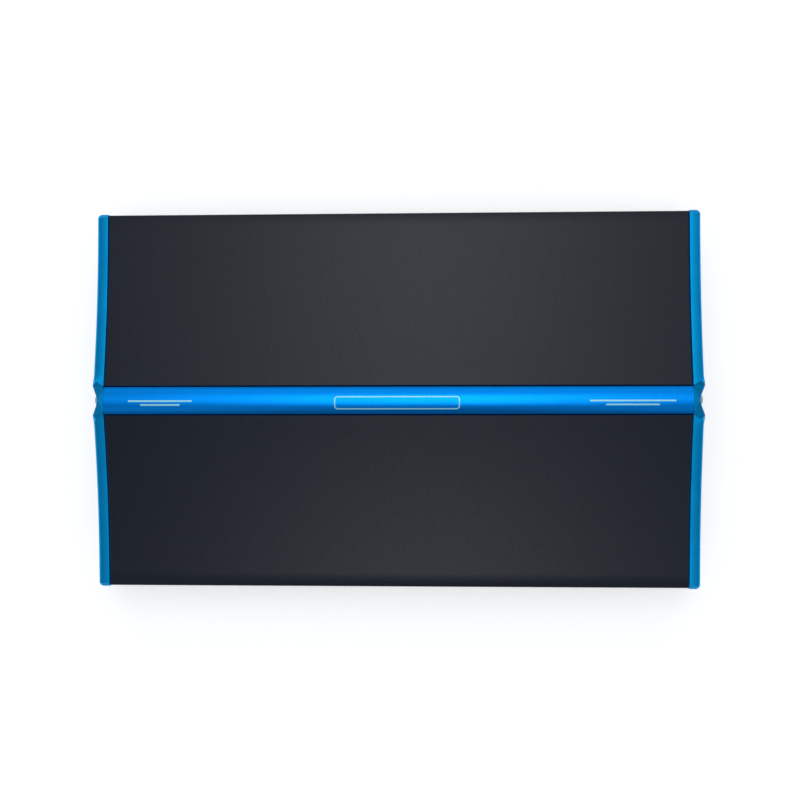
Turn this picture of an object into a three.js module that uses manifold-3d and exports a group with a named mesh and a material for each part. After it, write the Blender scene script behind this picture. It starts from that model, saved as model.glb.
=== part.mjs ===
// A four-channel car amplifier, in millimetres with +Z up.
//
// The origin is the centre of the footprint, on the surface that the amplifier rests on.
// The heatsink is extruded along X. Its power end is at -X and its signal end at +X.
// Each end panel is set back under the heatsink, so the heatsink overhangs a wiring recess.
import * as THREE from "three";
import { ConvexGeometry } from "three/addons/geometries/ConvexGeometry.js";
import { mergeVertices } from "three/addons/utils/BufferGeometryUtils.js";
import Module from "manifold-3d";

const wasm = await Module();
wasm.setup();

// ---- Clearances -------------------------------------------------------------------------

const TOUCH = 0.3; // between pieces that rest on, or butt against, each other
const RUNNING = 0.35; // between a moving piece and the piece it moves in

// ---- Heatsink ---------------------------------------------------------------------------

const SINK_LENGTH = 392.4;
const SINK_DEPTH = 253;
const RIDGE_TOP = 54.4; // where a wing meets the trim groove
const LIP_TOP = 43; // at the outer edge of a wing
const SKIN = 3.2; // thickness of the wings and of the groove's floor
const WALL = 3.5; // thickness of the long side walls
const OVERHANG = 13.5; // from a side wall out to the wing's edge
const GROOVE_WIDTH = 19.9; // the trim and the caps' faceted blocks follow it
const GROOVE_DEPTH = 6;
const FIN_COUNT = 5; // on each long side
const FIN_THICK = 1.8;
const FIN_SHORT = 2.2; // how far the fin tips stand back from the wing's edge
const FLANGE_THICK = 3;
const BOSS = 7.6; // square screw channel in each upper inner corner
const BOSS_ROOT = 1; // how far a screw channel runs into the wing and the wall
const WING_STEPS = 14;

// ---- Base plate -------------------------------------------------------------------------

const BASE_THICK = 1.6;
const MOUNT_SLOT_WIDTH = 6.4;
const MOUNT_SLOT_DEPTH = 15; // from the plate's end
const MOUNT_SLOT_INSET = 60.5; // from the long edges in to the slots' middles
const PILLAR_RADIUS = 3.4;
const PILLARS_ALONG = 3;
const PILLAR_INSET = 21.5; // from the side walls in to the pillars
const PILLAR_END_INSET = 21.7; // from the main board's ends to the outer pillars

// ---- Trim, end caps and end panels ------------------------------------------------------

const TRIM_GAP = 0.9; // on each side of the trim, in the groove
const TRIM_WIDTH = GROOVE_WIDTH - 2 * TRIM_GAP;
const TRIM_RISE = 3.4; // of the crest over the trim's edges
const TRIM_PROUD = 0.2; // of the trim's edges over the wings
const TRIM_WALL = 2.2;

const CAP_THICK = 7.4;
const CAP_PROUD = 0.5; // how far a cap stands out from the heatsink's outline
const CAP_BEVEL = 2.2;
const CAP_CORNER = 3.4; // radius of the caps' upright corners
const CAP_LIFT = 0.4; // bottom of the cap over the rest surface
const RAIL_HEIGHT = 6.6; // of the cap's top rail at the window
const POST_WIDTH = 26.5;
const WINDOW_CORNER = 6;
const KEYSTONE_HALF = GROOVE_WIDTH / 2; // from the cap's centre to the tips of its faceted block
const KEYSTONE_FLARE = 0.7; // how far the tips stand out from the cap's face
const KEYSTONE_SPREAD = 5.2; // how far the flare runs past the tips, along the face
const KEYSTONE_CORNER = 3; // how far the block runs past the tips, along the bevel
const SCOOP_ROOT = 3.3; // from the cap's inner face to the root of the scoop
const SCOOP_ROUND = 1.8; // half the width of the scoop's blunt root
const SCOOP_DEPTH = 5; // of the scoop's floor at its root, under the crest
const SCOOP_FALL = 1.8; // how far the floor drops for each unit outwards

const PANEL_THICK = 1.5;
const PANEL_INSET = 22; // from the heatsink's end to the panel's outer face
const PANEL_FOOT = 10;
const PANEL_FIT = 0.5; // between a panel and the heatsink around it

// ---- Boards -----------------------------------------------------------------------------

const BOARD_LIFT = 7.4; // over the base plate
const BOARD_THICK = 1.6;
const BOARD_MARGIN = 5; // from the board's long edges to the side walls
const SIGNAL_BOARD_LIFT = 3; // over the main board
const SIGNAL_BOARD_REACH = 42; // inwards from the signal panel
const SPACER_RADIUS = 2;
const SPACER_INSET = 5; // from the signal board's edges to its spacers

// ---- Power end --------------------------------------------------------------------------

const STRIP_HEIGHT = 21;
const STRIP_BACK = 5; // plastic behind the contacts, outside the panel
const STRIP_TAIL = 9; // how far a strip reaches inside the panel
const BARRIER_REACH = 8.4; // how far the barriers stand out past the contacts
const BARRIER_THICK = 2;
const BARRIER_FLOOR = 2.4; // plastic under the bays
const POWER_BAYS = 3;
const POWER_BAY = 15.4;
const SPEAKER_BAYS = 8;
const SPEAKER_BAY = 8.6;
const CLAMP_HEAD_RADIUS = 5;
const CLAMP_HEAD_HEIGHT = 2.6;
const CLAMP_SHANK_RADIUS = 2.4;
const CLAMP_SHANK_LENGTH = 4;
const CLAMP_PLATE = 11.5; // square washer under the head
const CLAMP_PLATE_THICK = 1;

const FUSE_COUNT = 2;
const FUSE_PITCH = 11;
const FUSE_THICK = 5;
const FUSE_WIDTH = 19;
const FUSE_HEIGHT = 12;
const FUSE_SEAT = 2.5; // how deep the fuse's body sits in the holder
const BLADE_WIDTH = 5.2;
const BLADE_THICK = 0.8;
const BLADE_LENGTH = 8;
const HOLDER_WALL = 2;
const HOLDER_REACH = 6; // out from the panel
const HOLDER_TAIL = 9; // in from the panel

// ---- Signal end -------------------------------------------------------------------------

const SOCKET_ROWS = 2;
const SOCKET_COLUMNS = 2;
const SOCKET_PITCH = 13;
const SOCKET_RADIUS = 4.15;
const SOCKET_BORE = 1.6;
const SOCKET_REACH = 9;
const SOCKET_TAIL = 3; // how far a socket is let into its block
const SOCKET_BLOCK_DEPTH = 14;
const SOCKET_BLOCK_REACH = 1; // out from the panel

const KNOB_RADIUS = 4.8;
const KNOB_HEIGHT = 8;
const KNOB_SLOT = 1.1;
const KNOB_SHAFT_RADIUS = 1.5;
const POT_BODY = 11;
const POT_DEPTH = 7;
const BUSH_RADIUS = 3.2;
const BUSH_REACH = 2; // out from the panel
const KNOB_STANDOFF = 0.6; // between the bush and the knob

const SLIDER_WIDTH = 3.6;
const SLIDER_HEIGHT = 3.6;
const SLIDER_REACH = 3.6; // out from the panel
const SLIDER_TRAVEL = 2; // each way
const SWITCH_WIDTH = 14;
const SWITCH_HEIGHT = 8;
const SWITCH_DEPTH = 7;
const SLIDER_TAIL = 3; // how far a slider reaches into its switch

const JACK_WIDTH = 14.5;
const JACK_HEIGHT = 12.5;
const JACK_DEPTH = 15;
const JACK_PORT_WIDTH = 9.9;
const JACK_PORT_HEIGHT = 6.8;
const JACK_PORT_DEPTH = 11;
const JACK_REACH = 0.8; // out from the panel

const LAMP_RADIUS = 1.6;
const LAMP_LENGTH = 8;
const LAMP_REACH = 1.6; // out from the panel
const LAMP_PITCH = 7;

// ---- Parts on the main board ------------------------------------------------------------

const TOROID_RADIUS = 23;
const TOROID_HEIGHT = 21;
const TOROID_HOLE = 8;
const TOROID_PITCH = 62;
const TOROID_CENTRE_X = -70;
const CHOKE_RADIUS = 13;
const CHOKE_HEIGHT = 12;
const CHOKE_HOLE = 5;
const CAPACITOR_RADIUS = 11;
const CAPACITOR_HEIGHT = 27;
const CAPACITOR_PITCH = 30;
const CAPACITOR_CENTRE_X = 20;
const TRANSISTOR_COUNT = 6; // in each bank
const TRANSISTOR_WIDTH = 15.6;
const TRANSISTOR_HEIGHT = 19;
const TRANSISTOR_THICK = 4.8;
const TRANSISTOR_PITCH = 34;
const CLAMP_BAR_HEIGHT = 9;
const CLAMP_BAR_THICK = 3;

// ---- Screws -----------------------------------------------------------------------------

const SCREW_SHANK = 1.5;
const SCREW_HEAD = 3;
const SCREW_HEAD_HEIGHT = 1.3;
const SCREW_CLEARANCE = 0.3; // around a screw in its hole
const SCREW_RECESS = 0.8; // across its cross recess
const CAP_SCREW_LENGTH = 13;
const BASE_SCREW_INSET = 36.2; // from the heatsink's ends to the outer screws
const BASE_SCREWS_ALONG = 3;

// ---- Places worked out from the sizes ---------------------------------------------------

const SINK_END = SINK_LENGTH / 2;
const SINK_HALF = SINK_DEPTH / 2;
const SINK_BOTTOM = BASE_THICK + TOUCH;
const FLANGE_TOP = SINK_BOTTOM + FLANGE_THICK;
const LIP_RADIUS = SKIN / 2;
const LIP_UNDER = LIP_TOP - SKIN;
const WALL_OUTER = SINK_HALF - OVERHANG;
const WALL_INNER = WALL_OUTER - WALL;
const GROOVE_HALF = GROOVE_WIDTH / 2;
const GROOVE_FLOOR = RIDGE_TOP - GROOVE_DEPTH;
const WING_END = SINK_HALF - LIP_RADIUS; // where the wing's arc lies level
const WING_DROP = RIDGE_TOP - LIP_TOP;
const WING_RUN = WING_END - GROOVE_HALF;
const WING_RADIUS = (WING_RUN ** 2 + WING_DROP ** 2) / (2 * WING_DROP);
const BOSS_Y = WALL_INNER - BOSS / 2;
const BOSS_Z = wingTop(WALL_INNER) - SKIN - BOSS / 2;
const PANEL_FACE = SINK_END - PANEL_INSET; // outer face of either panel
const PANEL_BACK = PANEL_FACE - PANEL_THICK;
const BOARD_BOTTOM = BASE_THICK + BOARD_LIFT;
const BOARD_TOP = BOARD_BOTTOM + BOARD_THICK;
const BOARD_END = PANEL_BACK - 1;
const PART_BOTTOM = BOARD_TOP + TOUCH;
const PILLAR_PITCH = (2 * (BOARD_END - PILLAR_END_INSET)) / (PILLARS_ALONG - 1);
const PILLAR_SPREAD = 2 * (WALL_INNER - PILLAR_INSET);
const MOUNT_SLOT_SPREAD = 2 * (SINK_HALF - MOUNT_SLOT_INSET);
const BASE_SCREW_PITCH = (2 * (SINK_END - BASE_SCREW_INSET)) / (BASE_SCREWS_ALONG - 1);
const SIGNAL_BOARD_BOTTOM = BOARD_TOP + SIGNAL_BOARD_LIFT;
const SIGNAL_BOARD_TOP = SIGNAL_BOARD_BOTTOM + BOARD_THICK;
const STRIP_BOTTOM = PART_BOTTOM;
const STRIP_MIDDLE = STRIP_BOTTOM + STRIP_HEIGHT / 2;
const CONTROL_Z = SIGNAL_BOARD_TOP + TOUCH + POT_BODY / 2;
const CAP_FACE = SINK_END + TOUCH; // inner face of either cap
const SPEAKER_STRIP_WIDTH = stripWidth(SPEAKER_BAYS, SPEAKER_BAY);
const POWER_STRIP_WIDTH = stripWidth(POWER_BAYS, POWER_BAY);
const HOLDER_WIDTH = (FUSE_COUNT - 1) * FUSE_PITCH + FUSE_THICK + 2 * (TOUCH + HOLDER_WALL);
const HOLDER_HEIGHT = FUSE_WIDTH + 2 * (TOUCH + HOLDER_WALL);
const SOCKET_BLOCK_WIDTH = SOCKET_COLUMNS * SOCKET_PITCH;
const SOCKET_BLOCK_HEIGHT = SOCKET_ROWS * SOCKET_PITCH;
const LAMP_FLANGE = LAMP_RADIUS + 0.6;

// Height of a wing's top surface at a distance y from the middle. It is an arc that lies level
// at the wing's edge and steepens towards the ridge.
function wingTop(y) {
  const run = Math.min(WING_END - y, WING_RUN);
  return LIP_TOP + WING_RADIUS - Math.sqrt(WING_RADIUS ** 2 - run ** 2);
}

// Overall width of a barrier strip with that many bays.
function stripWidth(bays, bay) {
  return bays * bay + (bays + 1) * BARRIER_THICK;
}

// Centres of items of the given widths, set in a row over a width with equal gaps between them.
function rowCentres(widths, fullWidth) {
  const gap = (fullWidth - widths.reduce((sum, w) => sum + w, 0)) / (widths.length + 1);
  let edge = -fullWidth / 2;
  return widths.map((w) => {
    edge += gap + w;
    return edge - w / 2;
  });
}

// Where the pieces of each end stand across the amplifier, from -Y to +Y. The power row runs from
// wall to wall under the screw channels, and the signal row runs between the channels.
const [POWER_Y, FUSES_Y, SPEAKER_Y] = rowCentres(
  [POWER_STRIP_WIDTH, HOLDER_WIDTH, SPEAKER_STRIP_WIDTH],
  2 * WALL_INNER,
);
const SIGNAL_ROW = {
  sockets: SOCKET_BLOCK_WIDTH,
  gain_front: 2 * KNOB_RADIUS,
  filter_front: SWITCH_WIDTH,
  highpass: 2 * KNOB_RADIUS,
  gain_rear: 2 * KNOB_RADIUS,
  filter_rear: SWITCH_WIDTH,
  lowpass: 2 * KNOB_RADIUS,
  bass: 2 * KNOB_RADIUS,
  input_mode: SWITCH_WIDTH,
  remote_jack: JACK_WIDTH,
  lamps: LAMP_PITCH + 2 * LAMP_FLANGE,
};
const SIGNAL_CENTRES = rowCentres(Object.values(SIGNAL_ROW), 2 * (WALL_INNER - BOSS));
const SIGNAL_Y = Object.fromEntries(Object.keys(SIGNAL_ROW).map((name, i) => [name, SIGNAL_CENTRES[i]]));
const KNOB_NAMES = ["gain_front", "highpass", "gain_rear", "lowpass", "bass"];
const SWITCH_NAMES = ["filter_front", "filter_rear", "input_mode"];
const LAMPS = { power_lamp: LAMP_PITCH / 2, protect_lamp: -LAMP_PITCH / 2 };

// ---- Solids -----------------------------------------------------------------------------

// A closed three.js geometry as a solid.
function solidOf(geometry) {
  const flat = geometry.index ? geometry.toNonIndexed() : geometry;
  const bare = new THREE.BufferGeometry();
  bare.setAttribute("position", flat.getAttribute("position"));
  const merged = mergeVertices(bare, 1e-4);
  return new wasm.Manifold(
    new wasm.Mesh({
      numProp: 3,
      vertProperties: merged.getAttribute("position").array,
      triVerts: new Uint32Array(merged.index.array),
    }),
  );
}

function geometryOf(solid) {
  const mesh = solid.getMesh();
  const points = new Float32Array(mesh.numVert * 3);
  for (let i = 0; i < mesh.numVert; i++)
    points.set(mesh.vertProperties.subarray(i * mesh.numProp, i * mesh.numProp + 3), i * 3);
  const geometry = new THREE.BufferGeometry();
  geometry.setAttribute("position", new THREE.BufferAttribute(points, 3));
  geometry.setIndex(new THREE.BufferAttribute(new Uint32Array(mesh.triVerts), 1));
  const faceted = geometry.toNonIndexed();
  faceted.computeVertexNormals();
  return faceted;
}

// The first geometry joined to the others.
function join(first, ...others) {
  return geometryOf(others.reduce((sum, g) => sum.add(solidOf(g)), solidOf(first)));
}

// The first geometry with the others taken out of it.
function cut(first, ...others) {
  return geometryOf(others.reduce((left, g) => left.subtract(solidOf(g)), solidOf(first)));
}

function common(a, b) {
  return geometryOf(solidOf(a).intersect(solidOf(b)));
}

// A box between two values on each axis.
function block([x0, x1], [y0, y1], [z0, z1]) {
  const geometry = new THREE.BoxGeometry(x1 - x0, y1 - y0, z1 - z0);
  return geometry.translate((x0 + x1) / 2, (y0 + y1) / 2, (z0 + z1) / 2);
}

// A box round a centre line along X.
function bar([x0, x1], y, z, width, height) {
  return block([x0, x1], [y - width / 2, y + width / 2], [z - height / 2, z + height / 2]);
}

// A round rod along X from x0 to x1.
function rodX(radius, [x0, x1], y, z, sides = 20) {
  const geometry = new THREE.CylinderGeometry(radius, radius, x1 - x0, sides);
  return geometry.rotateZ(Math.PI / 2).translate((x0 + x1) / 2, y, z);
}

// A round rod along Z from z0 to z1, with its own radius at each end.
function rodZ(lowRadius, highRadius, x, y, [z0, z1], sides = 20) {
  const geometry = new THREE.CylinderGeometry(highRadius, lowRadius, z1 - z0, sides);
  return geometry.rotateX(Math.PI / 2).translate(x, y, (z0 + z1) / 2);
}

// An outline of [y, z] points extruded along X from x0 to x1.
function extrudeX(outline, [x0, x1], options = {}) {
  const shape = new THREE.Shape(outline.map(([y, z]) => new THREE.Vector2(y, z)));
  const geometry = new THREE.ExtrudeGeometry(shape, {
    depth: x1 - x0,
    bevelEnabled: false,
    curveSegments: 8,
    ...options,
  });
  const uprightAlongX = new THREE.Matrix4().set(0, 0, 1, x0, 1, 0, 0, 0, 0, 1, 0, 0, 0, 0, 0, 1);
  return geometry.applyMatrix4(uprightAlongX);
}

// A closed profile of [radius, z] points, listed upwards on the outside, turned about Z.
function turned(profile, sides) {
  const points = profile.map(([r, z]) => new THREE.Vector2(r, z));
  return new THREE.LatheGeometry(points, sides).rotateX(Math.PI / 2);
}

function mirrored(half) {
  const other = half.map(([y, z]) => [-y, z]).reverse();
  return [...half, ...other.filter(([y]) => y !== 0)];
}

// ---- Materials --------------------------------------------------------------------------

function finish(color, roughness, metalness) {
  return new THREE.MeshStandardMaterial({ color, roughness, metalness });
}

const BLACK_COAT = finish(0x1d1f24, 0.5, 0.3);
const BLUE_ANODISE = finish(0x0478c8, 0.3, 0.9);
const BLACK_STEEL = finish(0x17181a, 0.55, 0.4);
const ZINC = finish(0x9a9c9f, 0.35, 0.9);
const BLACK_PLASTIC = finish(0x141414, 0.45, 0);
const GREEN_BOARD = finish(0x14542c, 0.5, 0);
const GOLD = finish(0xc9a14a, 0.25, 1);
const COPPER = finish(0xa05a2c, 0.4, 0.9);
const SLEEVE = finish(0x20242c, 0.3, 0);
const FUSE_PLASTIC = finish(0xd8c83a, 0.2, 0);
const BLUE_LAMP = finish(0x3060ff, 0.2, 0);
const RED_LAMP = finish(0xc01818, 0.2, 0);

const amplifier = new THREE.Group();
amplifier.name = "car_amplifier";

// Adds a named piece to a group and returns it, so that its place can be set.
function add(name, geometry, material, parent = amplifier) {
  const mesh = new THREE.Mesh(geometry, material);
  mesh.name = name;
  parent.add(mesh);
  return mesh;
}

// ---- Heatsink, trim and base ------------------------------------------------------------

// Points of the wing's top between two distances from the middle, moved up by a rise.
function wingPoints(fromY, toY, rise, steps = WING_STEPS) {
  return Array.from({ length: steps + 1 }, (_, i) => {
    const y = fromY + ((toY - fromY) * i) / steps;
    return [y, wingTop(y) + rise];
  });
}

// The rounded edge of a wing, from its top to its underside.
function lipPoints(radius, centreY, centreZ, steps = 4) {
  return Array.from({ length: steps + 1 }, (_, i) => {
    const angle = Math.PI / 2 - (Math.PI * i) / steps;
    return [centreY + radius * Math.cos(angle), centreZ + radius * Math.sin(angle)];
  });
}

function finPoints() {
  const pitch = (LIP_UNDER - FLANGE_TOP) / (FIN_COUNT + 1);
  const tip = SINK_HALF - FIN_SHORT;
  const points = [];
  for (let i = FIN_COUNT; i > 0; i--) {
    const z = FLANGE_TOP + i * pitch;
    points.push([WALL_OUTER, z + FIN_THICK / 2], [tip, z + FIN_THICK / 2]);
    points.push([tip, z - FIN_THICK / 2], [WALL_OUTER, z - FIN_THICK / 2]);
  }
  return points;
}

function heatsink() {
  const floorEdge = GROOVE_HALF + SKIN;
  const half = [
    [0, GROOVE_FLOOR],
    [GROOVE_HALF, GROOVE_FLOOR],
    ...wingPoints(GROOVE_HALF, WING_END, 0),
    ...lipPoints(LIP_RADIUS, WING_END, LIP_TOP - LIP_RADIUS).slice(1),
    [WALL_OUTER, LIP_UNDER],
    ...finPoints(),
    [WALL_OUTER, FLANGE_TOP],
    [SINK_HALF, FLANGE_TOP],
    [SINK_HALF, SINK_BOTTOM],
    [WALL_INNER, SINK_BOTTOM],
    ...wingPoints(WALL_INNER, floorEdge, -SKIN),
    [floorEdge, GROOVE_FLOOR - SKIN],
    [0, GROOVE_FLOOR - SKIN],
  ];
  const outline = mirrored(half).reverse();
  const body = extrudeX(outline, [-SINK_END, SINK_END]);
  const channel = BOSS + BOSS_ROOT;
  const channels = [-1, 1].map((side) =>
    bar([-SINK_END, SINK_END], side * (BOSS_Y + BOSS_ROOT / 2), BOSS_Z + BOSS_ROOT / 2, channel, channel),
  );
  const bore = SCREW_SHANK + SCREW_CLEARANCE;
  const boreEnds = [
    [-SINK_END - 1, CAP_SCREW_LENGTH - SINK_END],
    [SINK_END - CAP_SCREW_LENGTH, SINK_END + 1],
  ];
  const holes = [];
  for (const ends of boreEnds)
    for (const side of [-1, 1]) holes.push(rodX(bore, ends, side * BOSS_Y, BOSS_Z, 12));
  for (const [x, y] of baseScrewPlaces())
    holes.push(rodZ(bore, bore, x, y, [0, FLANGE_TOP + 1], 12));
  return cut(join(body, ...channels), ...holes);
}

// An inverted channel with an arched top that lies in the heatsink's groove.
function ridgeTrim() {
  const half = TRIM_WIDTH / 2;
  const bottom = GROOVE_FLOOR + TOUCH;
  const edge = RIDGE_TOP + TRIM_PROUD;
  const radius = (half ** 2 + TRIM_RISE ** 2) / (2 * TRIM_RISE);
  const steps = 10;
  const arch = Array.from({ length: steps + 1 }, (_, i) => {
    const y = half - (half * i) / steps;
    return [y, edge + TRIM_RISE - radius + Math.sqrt(radius ** 2 - y ** 2)];
  });
  const right = [
    [half - TRIM_WALL, edge - TRIM_WALL],
    [half - TRIM_WALL, bottom],
    [half, bottom],
    ...arch,
  ];
  return extrudeX(mirrored(right), [-SINK_END, SINK_END]);
}

function baseScrewPlaces() {
  const y = (WALL_OUTER + SINK_HALF) / 2;
  const places = [];
  for (let i = 0; i < BASE_SCREWS_ALONG; i++)
    for (const side of [-1, 1])
      places.push([(i - (BASE_SCREWS_ALONG - 1) / 2) * BASE_SCREW_PITCH, side * y]);
  return places;
}

// A flat plate with open mounting slots in both ends and pillars that carry the main board.
function basePlate() {
  const plate = block([-SINK_END, SINK_END], [-SINK_HALF, SINK_HALF], [0, BASE_THICK]);
  const pillars = [];
  for (let i = 0; i < PILLARS_ALONG; i++)
    for (const side of [-1, 1]) {
      const x = (i - (PILLARS_ALONG - 1) / 2) * PILLAR_PITCH;
      const y = (side * PILLAR_SPREAD) / 2;
      pillars.push(rodZ(PILLAR_RADIUS, PILLAR_RADIUS, x, y, [BASE_THICK / 2, BOARD_BOTTOM - TOUCH], 14));
    }
  const openings = [];
  const radius = MOUNT_SLOT_WIDTH / 2;
  for (const end of [-1, 1])
    for (const side of [-1, 1]) {
      const y = (side * MOUNT_SLOT_SPREAD) / 2;
      const root = SINK_END - MOUNT_SLOT_DEPTH + radius;
      const reach = [root, SINK_END + 1].map((x) => x * end).sort((a, b) => a - b);
      openings.push(block(reach, [y - radius, y + radius], [-1, BASE_THICK + 1]));
      openings.push(rodZ(radius, radius, end * root, y, [-1, BASE_THICK + 1]));
    }
  const bore = SCREW_SHANK + SCREW_CLEARANCE;
  for (const [x, y] of baseScrewPlaces()) {
    openings.push(screwRecess(x, y));
    openings.push(rodZ(bore, bore, x, y, [-1, BASE_THICK + 1], 12));
  }
  return cut(join(plate, ...pillars), ...openings);
}

// ---- Screws -----------------------------------------------------------------------------

// The countersink for a base screw's head, open at the rest surface.
function screwRecess(x, y) {
  const wide = SCREW_HEAD + SCREW_CLEARANCE;
  const lead = 0.5;
  const slope = (wide - SCREW_SHANK - SCREW_CLEARANCE) / SCREW_HEAD_HEIGHT;
  return rodZ(wide + lead * slope, SCREW_SHANK + SCREW_CLEARANCE, x, y, [-lead, SCREW_HEAD_HEIGHT], 16);
}

// A cross recess in a head that faces down the -Z axis, at the given height.
function crossRecess(z, size, depth) {
  const arm = [-size, size];
  const slot = [-SCREW_RECESS / 2, SCREW_RECESS / 2];
  return [block(arm, slot, [z - 1, z + depth]), block(slot, arm, [z - 1, z + depth])];
}

// A countersunk screw that points up Z, with the face of its head at z = 0.
function countersunkScrew(length) {
  const profile = [
    [0, 0],
    [SCREW_HEAD - 0.1, 0],
    [SCREW_SHANK, SCREW_HEAD_HEIGHT],
    [SCREW_SHANK, length - 0.5],
    [SCREW_SHANK - 0.5, length],
    [0, length],
  ];
  return cut(turned(profile, 16), ...crossRecess(0, SCREW_HEAD * 0.55, SCREW_HEAD_HEIGHT * 0.6));
}

// A terminal screw with its square washer, pointing up Z from the washer's back at z = 0.
function clampScrew(headRadius, headHeight, plate, plateThick, shankRadius, shankLength) {
  const head = turned(
    [
      [0, -plateThick - headHeight],
      [headRadius * 0.7, -plateThick - headHeight],
      [headRadius, -plateThick - headHeight * 0.6],
      [headRadius, -plateThick / 2],
      [0, -plateThick / 2],
    ],
    20,
  );
  const washer = block([-plate / 2, plate / 2], [-plate / 2, plate / 2], [-plateThick, 0]);
  const shank = rodZ(shankRadius, shankRadius, 0, 0, [-plateThick / 2, shankLength], 14);
  const face = -plateThick - headHeight;
  return cut(join(washer, head, shank), ...crossRecess(face, headRadius * 0.6, headHeight * 0.6));
}

// ---- End caps and end panels ------------------------------------------------------------

const CAP_HALF = SINK_HALF + CAP_PROUD;
const WINDOW_HALF = CAP_HALF - POST_WIDTH;
const WINDOW_TOP = LIP_TOP + CAP_PROUD - RAIL_HEIGHT;
const KEYSTONE_LOW = WINDOW_TOP + 1;

// Half of the cap's outline, over the top and down the post.
function capOutline() {
  const corner = Array.from({ length: 5 }, (_, i) => {
    const angle = (Math.PI / 2) * (i / 4);
    return [
      WINDOW_HALF - WINDOW_CORNER * (1 - Math.cos(angle)),
      WINDOW_TOP - WINDOW_CORNER * (1 - Math.sin(angle)),
    ];
  });
  const half = [
    [0, wingTop(GROOVE_HALF) + CAP_PROUD],
    ...wingPoints(GROOVE_HALF, WING_END, CAP_PROUD),
    [CAP_HALF, LIP_TOP - LIP_RADIUS + CAP_PROUD / 2],
    [CAP_HALF, CAP_LIFT],
    [WINDOW_HALF, CAP_LIFT],
    ...corner,
    [0, WINDOW_TOP],
  ];
  return mirrored(half).reverse();
}

const KEYSTONE_CREST = RIDGE_TOP + TRIM_RISE;
const KEYSTONE_TIP = CAP_THICK + KEYSTONE_FLARE;
const KEYSTONE_SHOULDER = wingTop(GROOVE_HALF) + CAP_PROUD;
const KEYSTONE_TIP_TOP = KEYSTONE_SHOULDER - CAP_PROUD - CAP_BEVEL;
const SCOOP_SLOPE = (KEYSTONE_TIP - SCOOP_ROOT) / KEYSTONE_HALF;

// The corners of the faceted block on one side of the cap's centre, as [x, y, z].
function keystoneCorners(side) {
  const y = side * KEYSTONE_HALF;
  return {
    shoulder: [0, y, KEYSTONE_SHOULDER],
    bevel: [CAP_THICK - CAP_BEVEL, y + side * KEYSTONE_CORNER, KEYSTONE_SHOULDER - CAP_PROUD],
    foot: [CAP_THICK, y + side * KEYSTONE_SPREAD, KEYSTONE_TIP_TOP],
    tip: [KEYSTONE_TIP, y, KEYSTONE_TIP_TOP],
  };
}

function hull(points) {
  return new ConvexGeometry(points.map(([x, y, z]) => new THREE.Vector3(x, y, z)));
}

// The middle of the block: a gable that carries on from the trim and falls away outwards.
function keystoneGable() {
  const front = KEYSTONE_CREST - KEYSTONE_SHOULDER + KEYSTONE_TIP_TOP;
  const top = [[0, 0, KEYSTONE_CREST], [KEYSTONE_TIP, 0, front]];
  for (const side of [-1, 1]) {
    const { shoulder, tip } = keystoneCorners(side);
    top.push(shoulder, tip);
  }
  return hull(top.flatMap(([x, y, z]) => [[x, y, z], [x, y, KEYSTONE_LOW]]));
}

// One side of the block: a facet from the cap's top rail down to the tip. Its foot is wider, so
// that it is rooted in the gable and in the rail.
function keystoneFacet(side) {
  const { shoulder, bevel, foot, tip } = keystoneCorners(side);
  const spread = ([x, y], by) => [x, y + side * by, KEYSTONE_LOW];
  const low = [spread(shoulder, 1), spread(shoulder, -1), spread(bevel, 1), spread(foot, 0)];
  return hull([shoulder, bevel, foot, tip, ...low, spread(tip, 0), spread(tip, -1)]);
}

// Extrudes a plan outline of [x, y] points straight down from the given height.
function extrudeDown(outline, top, height) {
  const shape = new THREE.Shape(outline.map(([x, y]) => new THREE.Vector2(x, y)));
  const geometry = new THREE.ExtrudeGeometry(shape, { depth: height, bevelEnabled: false });
  return geometry.translate(0, 0, top - height);
}

// Takes the rail away where the block stands.
function railCutter() {
  const half = [-1, 1].map((side) => {
    const { shoulder, bevel, foot } = keystoneCorners(side);
    return [[-1, shoulder[1]], shoulder, bevel, foot, [KEYSTONE_TIP, foot[1]]];
  });
  const outline = [...half[0], ...half[1].reverse()];
  return extrudeDown(outline, KEYSTONE_CREST + 1, KEYSTONE_CREST + 1 - KEYSTONE_LOW - 2);
}

// A V-shaped cutter whose upright sides run from a blunt root to the two tips, over a floor that
// slopes down until it leaves the cap's face.
function scoop() {
  const wide = KEYSTONE_HALF + 4;
  const round = SCOOP_ROUND;
  const outline = new THREE.Shape();
  outline.moveTo(SCOOP_ROOT + wide * SCOOP_SLOPE, wide);
  outline.lineTo(SCOOP_ROOT + round * SCOOP_SLOPE, round);
  outline.quadraticCurveTo(SCOOP_ROOT, 0, SCOOP_ROOT + round * SCOOP_SLOPE, -round);
  outline.lineTo(SCOOP_ROOT + wide * SCOOP_SLOPE, -wide);
  const floor = (x) => KEYSTONE_CREST - SCOOP_DEPTH - (x - SCOOP_ROOT) * SCOOP_FALL;
  return hull(outline.getPoints(4).flatMap(({ x, y }) => [[x, y, KEYSTONE_CREST + 1], [x, y, floor(x)]]));
}

// Clears the cap's face between the two tips, so that each stands out as a ridge.
function faceCutter() {
  const ridgeFoot = (CAP_THICK - SCOOP_ROOT) / SCOOP_SLOPE;
  const past = (x) => (x - SCOOP_ROOT) / SCOOP_SLOPE;
  const outer = KEYSTONE_TIP + 0.2;
  const outline = [
    [CAP_THICK, -ridgeFoot],
    [outer, -past(outer)],
    [outer, past(outer)],
    [CAP_THICK, ridgeFoot],
  ];
  return extrudeDown(outline, KEYSTONE_CREST + 1, KEYSTONE_CREST);
}

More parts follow.
